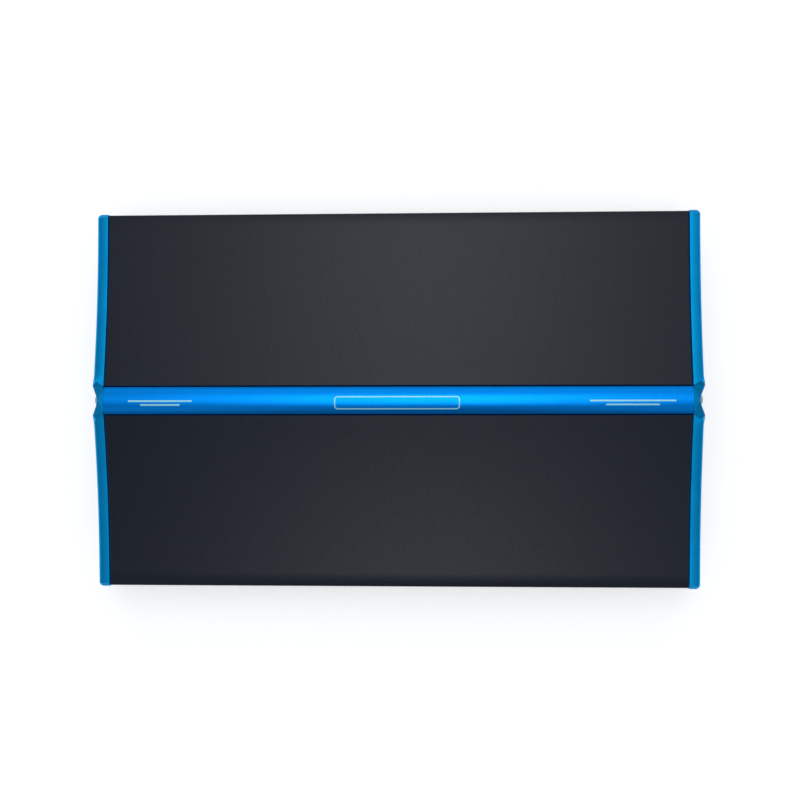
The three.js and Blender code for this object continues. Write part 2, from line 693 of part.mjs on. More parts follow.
// A cap for the +X end, with its inner face at x = 0.
function endCap() {
  const bevelled = extrudeX(capOutline(), [-CAP_THICK, CAP_THICK - CAP_BEVEL], {
    bevelEnabled: true,
    bevelThickness: CAP_BEVEL,
    bevelSize: CAP_BEVEL,
    bevelOffset: -CAP_BEVEL,
    bevelSegments: 3,
  });
  const plan = new THREE.Shape();
  const half = CAP_HALF;
  plan.moveTo(0, -half);
  plan.lineTo(CAP_THICK - CAP_CORNER, -half);
  plan.absarc(CAP_THICK - CAP_CORNER, CAP_CORNER - half, CAP_CORNER, -Math.PI / 2, 0, false);
  plan.absarc(CAP_THICK - CAP_CORNER, half - CAP_CORNER, CAP_CORNER, 0, Math.PI / 2, false);
  plan.lineTo(0, half);
  const bounds = new THREE.ExtrudeGeometry(plan, { depth: 80, bevelEnabled: false, curveSegments: 5 });
  const rounded = common(bevelled, bounds.translate(0, 0, -5));
  const holes = [-1, 1].flatMap((side) => [
    rodX(SCREW_SHANK + SCREW_CLEARANCE, [-1, CAP_THICK + 1], side * BOSS_Y, BOSS_Z, 12),
    rodX(
      SCREW_HEAD + SCREW_CLEARANCE,
      [CAP_THICK - SCREW_HEAD_HEIGHT - SCREW_CLEARANCE, CAP_THICK + 1],
      side * BOSS_Y,
      BOSS_Z,
    ),
  ]);
  const keystone = join(keystoneGable(), keystoneFacet(-1), keystoneFacet(1));
  return cut(join(cut(rounded, railCutter()), keystone), scoop(), faceCutter(), ...holes);
}

// An end panel for the +X end with a foot on the base plate and its outer face at x = 0.
function endPanel(openings) {
  const fit = (y) => Math.min(y, WALL_INNER - PANEL_FIT);
  const ceiling = -SKIN - PANEL_FIT;
  const floorEdge = GROOVE_HALF + SKIN + PANEL_FIT;
  const bossInner = WALL_INNER - BOSS - BOSS_ROOT - PANEL_FIT;
  const bossUnder = BOSS_Z - BOSS / 2 - PANEL_FIT;
  const half = [
    [0, GROOVE_FLOOR + ceiling],
    [floorEdge, GROOVE_FLOOR + ceiling],
    ...wingPoints(floorEdge, bossInner, ceiling),
    [bossInner, bossUnder],
    [fit(WALL_INNER), bossUnder],
    [fit(WALL_INNER), SINK_BOTTOM],
    [0, SINK_BOTTOM],
  ];
  const sheet = extrudeX(mirrored(half).reverse(), [-PANEL_THICK, 0]);
  const footHalf = WALL_INNER - PANEL_FIT;
  const footTop = SINK_BOTTOM + PANEL_THICK;
  const foot = block([-PANEL_FOOT, -PANEL_THICK / 2], [-footHalf, footHalf], [SINK_BOTTOM, footTop]);
  return cut(join(sheet, foot), ...openings);
}

// The hole through a panel for a piece of that width and height.
function panelWindow(y, z, width, height) {
  return bar([-PANEL_THICK - 1, 1], y, z, width + 2 * TOUCH, height + 2 * TOUCH);
}

function panelHole(y, z, radius) {
  return rodX(radius + TOUCH, [-PANEL_THICK - 1, 1], y, z, 16);
}

function signalPanel() {
  const y = SIGNAL_Y;
  const travel = 2 * (SLIDER_TRAVEL + RUNNING);
  const openings = [
    panelWindow(y.sockets, socketBlockZ(), SOCKET_BLOCK_WIDTH, SOCKET_BLOCK_HEIGHT),
    panelWindow(y.remote_jack, jackZ(), JACK_WIDTH, JACK_HEIGHT),
    ...KNOB_NAMES.map((name) => panelHole(y[name], CONTROL_Z, BUSH_RADIUS)),
    ...SWITCH_NAMES.map((name) =>
      panelWindow(y[name], CONTROL_Z, SLIDER_WIDTH + travel, SLIDER_HEIGHT + 2 * RUNNING),
    ),
    ...Object.values(LAMPS).map((offset) => panelHole(y.lamps + offset, CONTROL_Z, LAMP_RADIUS)),
  ];
  return endPanel(openings);
}

// The power panel is turned end for end, so its openings are made at minus y.
function powerPanel() {
  return endPanel([
    panelWindow(-POWER_Y, STRIP_MIDDLE, POWER_STRIP_WIDTH, STRIP_HEIGHT),
    panelWindow(-SPEAKER_Y, STRIP_MIDDLE, SPEAKER_STRIP_WIDTH, STRIP_HEIGHT),
    panelWindow(-FUSES_Y, holderZ(), HOLDER_WIDTH, HOLDER_HEIGHT),
  ]);
}

// ---- Power end --------------------------------------------------------------------------

function holderZ() {
  return PART_BOTTOM + HOLDER_HEIGHT / 2;
}

// Bay centres of a barrier strip, counted from its middle.
function bayCentres(bays, bay) {
  return Array.from({ length: bays }, (_, i) => (i - (bays - 1) / 2) * (bay + BARRIER_THICK));
}

// A barrier strip facing +X, with the panel's outer face at x = 0 and its middle at y = z = 0.
function barrierStrip(bays, bay, shankRadius, shankLength) {
  const width = stripWidth(bays, bay);
  const front = STRIP_BACK + BARRIER_REACH;
  const body = block([-STRIP_TAIL, front], [-width / 2, width / 2], [-STRIP_HEIGHT / 2, STRIP_HEIGHT / 2]);
  const gaps = bayCentres(bays, bay).flatMap((y) => [
    block(
      [STRIP_BACK, front + 1],
      [y - bay / 2, y + bay / 2],
      [BARRIER_FLOOR - STRIP_HEIGHT / 2, STRIP_HEIGHT / 2 + 1],
    ),
    rodX(shankRadius + SCREW_CLEARANCE, [STRIP_BACK - shankLength - 0.5, STRIP_BACK + 1], y, 0, 12),
  ]);
  return cut(body, ...gaps);
}

// A blade fuse that points up Z, with the underside of its body at z = 0.
function bladeFuse() {
  const crown = FUSE_HEIGHT * 0.3;
  const shape = new THREE.Shape();
  const half = FUSE_WIDTH / 2;
  shape.moveTo(-half, -FUSE_HEIGHT);
  shape.lineTo(half, -FUSE_HEIGHT);
  shape.lineTo(half, crown - FUSE_HEIGHT);
  shape.lineTo(half - 1.5, crown - FUSE_HEIGHT);
  shape.lineTo(half - 1.5, 0);
  shape.lineTo(1.5 - half, 0);
  shape.lineTo(1.5 - half, crown - FUSE_HEIGHT);
  shape.lineTo(-half, crown - FUSE_HEIGHT);
  const body = new THREE.ExtrudeGeometry(shape, { depth: FUSE_THICK, bevelEnabled: false });
  body.translate(0, 0, -FUSE_THICK / 2).rotateX(Math.PI / 2);
  const blades = [-1, 1].map((side) => {
    const x = side * (FUSE_WIDTH / 2 - 1.5 - BLADE_WIDTH / 2);
    return block(
      [x - BLADE_WIDTH / 2, x + BLADE_WIDTH / 2],
      [-BLADE_THICK / 2, BLADE_THICK / 2],
      [-1, BLADE_LENGTH],
    );
  });
  return join(body, ...blades);
}

// A holder facing +X, with the panel's outer face at x = 0 and its middle at y = z = 0.
function fuseHolder() {
  const body = bar([-HOLDER_TAIL, HOLDER_REACH], 0, 0, HOLDER_WIDTH, HOLDER_HEIGHT);
  const seat = HOLDER_REACH - FUSE_SEAT - TOUCH;
  const pockets = fuseOffsets().flatMap((y) => [
    bar([seat, HOLDER_REACH + 1], y, 0, FUSE_THICK + 2 * TOUCH, FUSE_WIDTH + 2 * TOUCH),
    ...[-1, 1].map((side) =>
      bar(
        [seat - BLADE_LENGTH - TOUCH, seat + 1],
        y,
        side * (FUSE_WIDTH / 2 - 1.5 - BLADE_WIDTH / 2),
        BLADE_THICK + 2 * TOUCH,
        BLADE_WIDTH + 2 * TOUCH,
      ),
    ),
  ]);
  return cut(body, ...pockets);
}

function fuseOffsets() {
  return Array.from({ length: FUSE_COUNT }, (_, i) => (i - (FUSE_COUNT - 1) / 2) * FUSE_PITCH);
}

function addPowerEnd() {
  const end = new THREE.Group(); // built facing +X, then turned to face -X
  end.position.x = -PANEL_FACE;
  end.rotation.z = Math.PI;
  amplifier.add(end);

  add("power_panel", powerPanel(), BLACK_STEEL, end);
  const strip = add(
    "power_terminal_block",
    barrierStrip(POWER_BAYS, POWER_BAY, CLAMP_SHANK_RADIUS, CLAMP_SHANK_LENGTH),
    BLACK_PLASTIC,
    end,
  );
  strip.position.set(0, -POWER_Y, STRIP_MIDDLE);
  bayCentres(POWER_BAYS, POWER_BAY).forEach((y, i) => {
    const screw = add(
      `power_clamp_screw_${i + 1}`,
      clampScrew(
        CLAMP_HEAD_RADIUS,
        CLAMP_HEAD_HEIGHT,
        CLAMP_PLATE,
        CLAMP_PLATE_THICK,
        CLAMP_SHANK_RADIUS,
        CLAMP_SHANK_LENGTH,
      ),
      GOLD,
      end,
    );
    screw.rotation.y = -Math.PI / 2;
    screw.position.set(STRIP_BACK + TOUCH, y - POWER_Y, STRIP_MIDDLE);
  });

  const speakers = add(
    "speaker_terminal_block",
    barrierStrip(SPEAKER_BAYS, SPEAKER_BAY, SCREW_SHANK, CLAMP_SHANK_LENGTH),
    BLACK_PLASTIC,
    end,
  );
  speakers.position.set(0, -SPEAKER_Y, STRIP_MIDDLE);

  add("fuse_holder", fuseHolder(), BLACK_PLASTIC, end).position.set(0, -FUSES_Y, holderZ());
  fuseOffsets().forEach((y, i) => {
    const fuse = add(`fuse_${i + 1}`, bladeFuse(), FUSE_PLASTIC, end);
    fuse.rotation.y = -Math.PI / 2;
    fuse.position.set(HOLDER_REACH - FUSE_SEAT, y - FUSES_Y, holderZ());
  });
}

// ---- Signal end -------------------------------------------------------------------------

function socketBlockZ() {
  return PART_BOTTOM + SOCKET_BLOCK_HEIGHT / 2;
}

function jackZ() {
  return SIGNAL_BOARD_TOP + TOUCH + JACK_HEIGHT / 2;
}

// Offsets of the sockets from the middle of their block, as [y, z].
function socketOffsets() {
  const offsets = [];
  for (let row = 0; row < SOCKET_ROWS; row++)
    for (let column = 0; column < SOCKET_COLUMNS; column++)
      offsets.push([
        (column - (SOCKET_COLUMNS - 1) / 2) * SOCKET_PITCH,
        (row - (SOCKET_ROWS - 1) / 2) * SOCKET_PITCH,
      ]);
  return offsets;
}

function socketBlock() {
  const body = bar(
    [-SOCKET_BLOCK_DEPTH, SOCKET_BLOCK_REACH],
    0,
    0,
    SOCKET_BLOCK_WIDTH,
    SOCKET_BLOCK_HEIGHT,
  );
  const seats = socketOffsets().map(([y, z]) =>
    rodX(SOCKET_RADIUS + TOUCH, [SOCKET_BLOCK_REACH - SOCKET_TAIL - TOUCH, SOCKET_BLOCK_REACH + 1], y, z, 20),
  );
  return cut(body, ...seats);
}

// A socket that points up Z from the bottom of its seat at z = 0.
function socket() {
  const length = SOCKET_TAIL + SOCKET_REACH;
  const profile = [
    [0, 0],
    [SOCKET_RADIUS, 0],
    [SOCKET_RADIUS, length - 0.6],
    [SOCKET_RADIUS - 0.6, length],
    [SOCKET_BORE, length],
    [SOCKET_BORE, SOCKET_TAIL],
    [0, SOCKET_TAIL],
  ];
  return turned(profile, 20);
}

// A potentiometer behind the panel, with its bush through it and its axis at y = z = 0.
function potBody() {
  const back = -PANEL_THICK - TOUCH;
  const body = bar([back - POT_DEPTH, back], 0, 0, POT_BODY, POT_BODY);
  const bush = rodX(BUSH_RADIUS, [back - 1, BUSH_REACH], 0, 0, 18);
  const bore = rodX(KNOB_SHAFT_RADIUS + RUNNING, [back - POT_DEPTH + 1.5, BUSH_REACH + 1], 0, 0, 16);
  return cut(join(body, bush), bore);
}

// A control knob and its shaft along +X, with the panel's outer face at x = 0.
function knob() {
  const foot = BUSH_REACH + KNOB_STANDOFF;
  const face = foot + KNOB_HEIGHT;
  const skirt = rodX(KNOB_RADIUS, [foot, face], 0, 0, 24);
  const shaft = rodX(KNOB_SHAFT_RADIUS, [-PANEL_THICK - TOUCH - POT_DEPTH + 2.5, foot + 1], 0, 0, 14);
  const pointer = block([face - 1, face + 1], [-KNOB_SLOT / 2, KNOB_SLOT / 2], [0, KNOB_RADIUS + 1]);
  return cut(join(skirt, shaft), pointer);
}

// A slide switch behind the panel, open at the front where its slider runs.
function switchBody() {
  const back = -PANEL_THICK - TOUCH;
  const body = bar([back - SWITCH_DEPTH, back], 0, 0, SWITCH_WIDTH, SWITCH_HEIGHT);
  const run = SLIDER_WIDTH + 2 * (SLIDER_TRAVEL + RUNNING);
  const track = bar([back - SLIDER_TAIL - RUNNING, back + 1], 0, 0, run, SLIDER_HEIGHT + 2 * RUNNING);
  return cut(body, track);
}

function slider() {
  const back = -PANEL_THICK - TOUCH - SLIDER_TAIL;
  return bar([back, SLIDER_REACH], 0, 0, SLIDER_WIDTH, SLIDER_HEIGHT);
}

function remoteJack() {
  const body = bar([JACK_REACH - JACK_DEPTH, JACK_REACH], 0, 0, JACK_WIDTH, JACK_HEIGHT);
  const port = bar([JACK_REACH - JACK_PORT_DEPTH, JACK_REACH + 1], 0, 0, JACK_PORT_WIDTH, JACK_PORT_HEIGHT);
  return cut(body, port);
}

// An indicator lamp that points up Z, with its dome's tip at z = 0.
function lamp() {
  const steps = 4;
  const dome = Array.from({ length: steps + 1 }, (_, i) => {
    const angle = (Math.PI / 2) * (i / steps);
    return [LAMP_RADIUS * Math.cos(angle), LAMP_RADIUS * (Math.sin(angle) - 1)];
  });
  const flangeTop = -LAMP_REACH - PANEL_THICK - TOUCH;
  dome[steps][0] = 0;
  return turned(
    [
      [0, -LAMP_LENGTH],
      [LAMP_FLANGE, -LAMP_LENGTH],
      [LAMP_FLANGE, flangeTop],
      [LAMP_RADIUS, flangeTop],
      ...dome,
    ],
    16,
  );
}

function addSignalEnd() {
  const end = new THREE.Group();
  end.position.x = PANEL_FACE;
  amplifier.add(end);

  add("signal_panel", signalPanel(), BLACK_STEEL, end);
  add("rca_block", socketBlock(), BLACK_PLASTIC, end).position.set(0, SIGNAL_Y.sockets, socketBlockZ());
  socketOffsets().forEach(([y, z], i) => {
    const piece = add(`rca_socket_${i + 1}`, socket(), GOLD, end);
    piece.rotation.y = Math.PI / 2;
    piece.position.set(SOCKET_BLOCK_REACH - SOCKET_TAIL, SIGNAL_Y.sockets + y, socketBlockZ() + z);
  });
  for (const name of KNOB_NAMES) {
    add(`${name}_pot`, potBody(), ZINC, end).position.set(0, SIGNAL_Y[name], CONTROL_Z);
    add(`${name}_knob`, knob(), BLACK_PLASTIC, end).position.set(0, SIGNAL_Y[name], CONTROL_Z);
  }
  for (const name of SWITCH_NAMES) {
    add(`${name}_switch`, switchBody(), ZINC, end).position.set(0, SIGNAL_Y[name], CONTROL_Z);
    add(`${name}_slider`, slider(), BLACK_PLASTIC, end).position.set(0, SIGNAL_Y[name], CONTROL_Z);
  }
  add("bass_remote_jack", remoteJack(), BLACK_PLASTIC, end).position.set(0, SIGNAL_Y.remote_jack, jackZ());
  for (const [name, offset] of Object.entries(LAMPS)) {
    const piece = add(name, lamp(), name === "power_lamp" ? BLUE_LAMP : RED_LAMP, end);
    piece.rotation.y = Math.PI / 2;
    piece.position.set(LAMP_REACH, SIGNAL_Y.lamps + offset, CONTROL_Z);
  }
}

// ---- Boards and what stands on them -----------------------------------------------------

function mainBoard() {
  const half = WALL_INNER - BOARD_MARGIN;
  return block([-BOARD_END, BOARD_END], [-half, half], [BOARD_BOTTOM, BOARD_TOP]);
}

// Stops short of the socket block, and stands on the main board on a spacer at each corner.
function signalBoard() {
  const half = WALL_INNER - BOARD_MARGIN;
  const low = SIGNAL_Y.sockets + SOCKET_BLOCK_WIDTH / 2 + 2;
  const inner = BOARD_END - SIGNAL_BOARD_REACH;
  const board = block([inner, BOARD_END], [low, half], [SIGNAL_BOARD_BOTTOM, SIGNAL_BOARD_TOP]);
  const spacers = [];
  for (const x of [inner + SPACER_INSET, BOARD_END - SPACER_INSET])
    for (const y of [low + SPACER_INSET, half - SPACER_INSET])
      spacers.push(rodZ(SPACER_RADIUS, SPACER_RADIUS, x, y, [PART_BOTTOM, SIGNAL_BOARD_BOTTOM + 0.5], 10));
  return join(board, ...spacers);
}

// A wound ring standing on z = 0.
function woundRing(radius, hole, height) {
  const round = 3;
  const profile = [
    [hole, round],
    [hole + round, 0],
    [radius - round, 0],
    [radius, round],
    [radius, height - round],
    [radius - round, height],
    [hole + round, height],
    [hole, height - round],
    [hole, round],
  ];
  return turned(profile, 24);
}

function capacitor() {
  const rim = 1;
  const profile = [
    [0, 0],
    [CAPACITOR_RADIUS - rim, 0],
    [CAPACITOR_RADIUS, rim],
    [CAPACITOR_RADIUS, CAPACITOR_HEIGHT - rim],
    [CAPACITOR_RADIUS - rim, CAPACITOR_HEIGHT],
    [0, CAPACITOR_HEIGHT],
  ];
  return turned(profile, 20);
}

// A bank of transistors with the bar that clamps them to the wall, for the +Y side.
function transistorBank() {
  const back = WALL_INNER - TOUCH;
  const face = back - TRANSISTOR_THICK;
  const span = (TRANSISTOR_COUNT - 1) * TRANSISTOR_PITCH + TRANSISTOR_WIDTH;
  const middle = PART_BOTTOM + TRANSISTOR_HEIGHT / 2;
  const clamp = block(
    [-span / 2, span / 2],
    [face - CLAMP_BAR_THICK, face + 0.5],
    [middle - CLAMP_BAR_HEIGHT / 2, middle + CLAMP_BAR_HEIGHT / 2],
  );
  const devices = Array.from({ length: TRANSISTOR_COUNT }, (_, i) => {
    const x = (i - (TRANSISTOR_COUNT - 1) / 2) * TRANSISTOR_PITCH;
    return block(
      [x - TRANSISTOR_WIDTH / 2, x + TRANSISTOR_WIDTH / 2],
      [face, back],
      [PART_BOTTOM, PART_BOTTOM + TRANSISTOR_HEIGHT],
    );
  });
  return join(clamp, ...devices);
}

function addBoards() {
  add("main_board", mainBoard(), GREEN_BOARD);
  add("signal_board", signalBoard(), GREEN_BOARD);
  [-1, 1].forEach((side, i) => {
    const shape = woundRing(TOROID_RADIUS, TOROID_HOLE, TOROID_HEIGHT);
    const ring = add(`power_transformer_${i + 1}`, shape, COPPER);
    ring.position.set(TOROID_CENTRE_X, (side * TOROID_PITCH) / 2, PART_BOTTOM);
  });
  const choke = add("input_choke", woundRing(CHOKE_RADIUS, CHOKE_HOLE, CHOKE_HEIGHT), COPPER);
  choke.position.set(TOROID_CENTRE_X - TOROID_RADIUS - CHOKE_RADIUS - 6, 0, PART_BOTTOM);
  ["rail_capacitor_1", "input_capacitor", "rail_capacitor_2"].forEach((name, i) => {
    const piece = add(name, capacitor(), SLEEVE);
    piece.position.set(CAPACITOR_CENTRE_X, (i - 1) * CAPACITOR_PITCH, PART_BOTTOM);
  });
  add("output_transistors", transistorBank(), BLACK_STEEL);
  add("supply_transistors", transistorBank(), BLACK_STEEL).rotation.z = Math.PI;
}

// ---- The amplifier ----------------------------------------------------------------------

function addShell() {
  add("heatsink", heatsink(), BLACK_COAT);
  add("ridge_trim", ridgeTrim(), BLUE_ANODISE);
  add("base_plate", basePlate(), BLACK_STEEL);
  baseScrewPlaces().forEach(([x, y], i) => {
    const screw = countersunkScrew(FLANGE_TOP - 2 * TOUCH);
    add(`base_screw_${i + 1}`, screw, ZINC).position.set(x, y, TOUCH / 2);
  });
}

function addCaps() {
  for (const [name, turn] of [["right", 0], ["left", Math.PI]]) {
    const group = new THREE.Group();
    group.rotation.z = turn;
    amplifier.add(group);
    add(`end_cap_${name}`, endCap(), BLUE_ANODISE, group).position.x = CAP_FACE;
    [-1, 1].forEach((side, i) => {
      const screw = add(`${name}_cap_screw_${i + 1}`, countersunkScrew(CAP_SCREW_LENGTH), ZINC, group);
      screw.rotation.y = -Math.PI / 2;
      screw.position.set(CAP_FACE + CAP_THICK - TOUCH, side * BOSS_Y, BOSS_Z);
    });
  }
}

addShell();
addCaps();
addBoards();
addPowerEnd();
addSignalEnd();

export default amplifier;
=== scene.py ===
"""A four-channel car amplifier, lying on a pale floor and seen from straight above.

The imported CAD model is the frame. This script gives every CAD node a procedural material, softens
its edges, and adds or replaces the small pieces that CAD leaves plain: knobs, fuses, windings,
capacitors, contacts, terminal screws and printed marks. Lengths are in metres in the row frame,
with +X towards the signal end, -X towards the power end and +Z up.
"""

import math

import bmesh
import bpy
from mathutils import Matrix, Vector


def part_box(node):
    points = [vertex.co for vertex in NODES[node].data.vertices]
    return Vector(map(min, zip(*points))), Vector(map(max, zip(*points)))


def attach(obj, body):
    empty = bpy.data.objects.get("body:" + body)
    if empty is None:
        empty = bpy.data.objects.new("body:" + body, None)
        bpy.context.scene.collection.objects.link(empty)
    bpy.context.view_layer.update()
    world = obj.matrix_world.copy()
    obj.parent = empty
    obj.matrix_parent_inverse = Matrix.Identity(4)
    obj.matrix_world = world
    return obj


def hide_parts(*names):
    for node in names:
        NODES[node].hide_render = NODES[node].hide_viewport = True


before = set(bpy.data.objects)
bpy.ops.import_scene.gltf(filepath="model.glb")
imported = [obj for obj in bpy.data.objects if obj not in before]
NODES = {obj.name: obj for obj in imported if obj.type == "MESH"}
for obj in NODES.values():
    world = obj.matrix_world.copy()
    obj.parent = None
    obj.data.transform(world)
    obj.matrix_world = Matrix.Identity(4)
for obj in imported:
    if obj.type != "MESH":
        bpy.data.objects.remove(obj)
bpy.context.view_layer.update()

MM = 0.001
CHASSIS = "chassis"
KNOBS = ["gain_front", "highpass", "gain_rear", "lowpass", "bass"]
SWITCHES = ["filter_front", "filter_rear", "input_mode"]
MOULDINGS = ["power_terminal_block", "speaker_terminal_block", "fuse_holder", "rca_block", "bass_remote_jack"]


# ---- Camera and stage ---------------------------------------------------------------------

CAMERA_PLACE = Vector((32.4, 6.1, 771.1)) * MM
CAMERA_YAW = math.radians(2.339)
CAMERA_PITCH = math.radians(-0.473)
CAMERA_ROLL = math.radians(-0.1)
CAMERA_LENS = 48.52


def make_camera():
    """A camera above the amplifier that looks down at it."""
    data = bpy.data.cameras.new("camera")
    data.lens = CAMERA_LENS
    data.sensor_width = 36
    data.clip_start = 0.01
    camera = bpy.data.objects.new("camera", data)
    bpy.context.scene.collection.objects.link(camera)
    turn = Matrix.Rotation(CAMERA_YAW, 4, "Y") @ Matrix.Rotation(CAMERA_PITCH, 4, "X")
    turn = turn @ Matrix.Rotation(CAMERA_ROLL, 4, "Z")
    camera.matrix_world = Matrix.Translation(CAMERA_PLACE) @ turn
    bpy.context.scene.camera = camera


def soft_box(name, place, size, radiance, aim=(0, 0, 0.03)):
    """A rectangular area light of that brightness at a place, turned to face a point."""
    data = bpy.data.lights.new(name, "AREA")
    data.shape = "RECTANGLE"
    data.size, data.size_y = size
    data.energy = radiance * math.pi * size[0] * size[1]
    light = bpy.data.objects.new(name, data)
    bpy.context.scene.collection.objects.link(light)
    light.location = place
    direction = Vector(aim) - Vector(place)
    light.rotation_euler = direction.to_track_quat("-Z", "Y").to_euler()


OVERHEAD_BACK = 1.4  # where the overhead panels all end, behind the amplifier


def make_lights():
    """A bright core overhead inside stepped panels, with panels behind, at the sides and in front."""
    soft_box("overhead_core", (0.0, 0.1, 1.6), (0.46, 1.48), 1.88)
    for i in range(4):
        reach = 1.5 + 0.4 * i
        place = (0.0, OVERHEAD_BACK - reach / 2, 1.65 + 0.01 * i)
        soft_box(f"overhead_panel_{i + 1}", place, (1.6, reach), 0.2)
    soft_box("back_panel", (0.0, 2.2, 1.3), (2.4, 1.2), 0.8)
    for side, sign in (("left", -1), ("right", 1)):
        soft_box(f"{side}_panel", (sign * 2.1, 0.0, 0.95), (1.4, 1.0), 0.9)
        soft_box(f"front_{side}_panel", (sign * 0.62, -1.15, 0.95), (0.7, 0.8), 0.4)


def make_world():
    """Dim light from all round, with a pale backdrop where the camera sees past the floor."""
    world = bpy.data.worlds.new("studio")
    bpy.context.scene.world = world
    world.use_nodes = True
    tree = world.node_tree
    tree.nodes.clear()
    fill = tree.nodes.new("ShaderNodeBackground")
    fill.inputs["Color"].default_value = (0.82, 0.91, 1.0, 1)
    fill.inputs["Strength"].default_value = 0.15
    backdrop = tree.nodes.new("ShaderNodeBackground")
    backdrop.inputs["Color"].default_value = (0.86, 0.87, 0.88, 1)
    rays = tree.nodes.new("ShaderNodeLightPath")
    mix = tree.nodes.new("ShaderNodeMixShader")
    out = tree.nodes.new("ShaderNodeOutputWorld")
    tree.links.new(rays.outputs["Is Camera Ray"], mix.inputs["Fac"])
    tree.links.new(fill.outputs["Background"], mix.inputs[1])
    tree.links.new(backdrop.outputs["Background"], mix.inputs[2])
    tree.links.new(mix.outputs["Shader"], out.inputs["Surface"])


# ---- Node materials -----------------------------------------------------------------------


class Paint:
    """A node material under construction, in the object's own coordinates."""

    def __init__(self, name, colour, roughness=0.5, metallic=0.0, **constants):
        self.material = bpy.data.materials.new(name)
        self.material.use_nodes = True
        self.tree = self.material.node_tree
        self.shader = self.tree.nodes["Principled BSDF"]
        self.place = self.node("ShaderNodeTexCoord").outputs["Object"]
        self.colour = self.constant_colour(colour)
        self.shader.inputs["Roughness"].default_value = roughness
        self.shader.inputs["Metallic"].default_value = metallic
        for socket, value in constants.items():
            self.shader.inputs[socket.replace("_", " ")].default_value = value
        self.height = None

    def node(self, kind, **settings):
        made = self.tree.nodes.new(kind)
        for name, value in settings.items():
            setattr(made, name, value)
        return made

    def link(self, source, target):
        self.tree.links.new(source, target)

    def constant_colour(self, colour):
        made = self.node("ShaderNodeRGB")
        made.outputs[0].default_value = (*colour, 1)
        return made.outputs[0]

    def put(self, target, value):
        """Sets an input to a number, or links it to a socket."""
        if isinstance(value, bpy.types.NodeSocket):
            self.link(value, target)
        else:
            target.default_value = value

    def math(self, operation, a, b=0.0):
        made = self.node("ShaderNodeMath", operation=operation)
        for socket, value in zip(made.inputs, (a, b)):
            self.put(socket, value)
        return made.outputs[0]

    def axes(self, place=None):
        """The three coordinates of a point as separate sockets."""
        made = self.node("ShaderNodeSeparateXYZ")
        self.link(place or self.place, made.inputs[0])
        return made.outputs

    def stretched(self, factors):
        """The object's coordinates, multiplied along each axis."""
        made = self.node("ShaderNodeVectorMath", operation="MULTIPLY")
        self.link(self.place, made.inputs[0])
        made.inputs[1].default_value = factors
        return made.outputs[0]

    def noise(self, size, detail=2.0, rough=0.5, place=None, distortion=0.0):
        """Noise whose features are about that size."""
        made = self.node("ShaderNodeTexNoise")
        self.link(place or self.place, made.inputs["Vector"])
        made.inputs["Scale"].default_value = 1 / size
        made.inputs["Detail"].default_value = detail
        made.inputs["Roughness"].default_value = rough
        made.inputs["Distortion"].default_value = distortion
        return made.outputs[0]

    def cells(self, size, randomness):
        """Distance to the nearest of scattered points that are about that size apart."""
        made = self.node("ShaderNodeTexVoronoi")
        self.link(self.place, made.inputs["Vector"])
        made.inputs["Scale"].default_value = 1 / size
        made.inputs["Randomness"].default_value = randomness
        return made.outputs["Distance"]

    def spread(self, value, low, high, to_low=0.0, to_high=1.0):
        """Maps a value from one range to another, held at the ends."""
        made = self.node("ShaderNodeMapRange")
        self.link(value, made.inputs["Value"])
        ranges = {"From Min": low, "From Max": high, "To Min": to_low, "To Max": to_high}
        for socket, number in ranges.items():
            made.inputs[socket].default_value = number
        return made.outputs[0]

    def tint(self, mask, colour, amount=1.0):
        """Mixes another colour in where the mask is high."""
        made = self.node("ShaderNodeMix", data_type="RGBA")
        factor = mask if amount == 1.0 else self.math("MULTIPLY", mask, amount)
        self.put(made.inputs[0], factor)
        self.link(self.colour, made.inputs[6])
        made.inputs[7].default_value = (*colour, 1)
        self.colour = made.outputs[2]

    def scale_colour(self, factor):
        """Multiplies the colour by a value that varies over the surface."""
        made = self.node("ShaderNodeVectorMath", operation="SCALE")
        self.link(self.colour, made.inputs[0])
        self.link(factor, made.inputs["Scale"])
        self.colour = made.outputs[0]

    def vary(self, socket, value):
        self.put(self.shader.inputs[socket], value)

    def bump(self, height, depth):
        """Adds a relief; depth is how far a height of one stands out."""
        made = self.node("ShaderNodeBump")
        made.inputs["Distance"].default_value = depth
        made.inputs["Strength"].default_value = 1.0
        self.link(height, made.inputs["Height"])
        if self.height:
            self.link(self.height, made.inputs["Normal"])
        self.height = made.outputs[0]

    def plan(self, centre, half, corner):
        """Signed distance from a rounded rectangle in plan, negative inside it."""
        flat = self.node("ShaderNodeVectorMath", operation="MULTIPLY")
        self.link(self.place, flat.inputs[0])
        flat.inputs[1].default_value = (1, 1, 0)
        steps = (
            ("SUBTRACT", (*centre, 0)),
            ("ABSOLUTE", None),
            ("SUBTRACT", (half[0] - corner, half[1] - corner, 0)),
            ("MAXIMUM", (0, 0, 0)),
            ("LENGTH", None),
        )
        socket = flat.outputs[0]
        for operation, vector in steps:
            made = self.node("ShaderNodeVectorMath", operation=operation)
            self.link(socket, made.inputs[0])
            if vector:
                made.inputs[1].default_value = vector
            socket = made.outputs["Value" if operation == "LENGTH" else "Vector"]
        return self.math("SUBTRACT", socket, corner)

    def filled(self, distance, blur=0.04 * MM):
        """A mask that is 1 inside a shape, from its signed distance."""
        return self.spread(distance, blur, -blur)

    def outlined(self, distance, width, blur=0.04 * MM):
        """A mask for a line just inside a shape's edge."""
        middle = self.math("ABSOLUTE", self.math("ADD", distance, width / 2))
        return self.spread(middle, width / 2 + blur, width / 2 - blur)

    def finish(self):
        self.link(self.colour, self.shader.inputs["Base Color"])
        if self.height:
            self.link(self.height, self.shader.inputs["Normal"])
        return self.material


JOINT_SHADE_WIDTH = 0.9 * MM  # width of the line of painted shade along the extrusion's joints
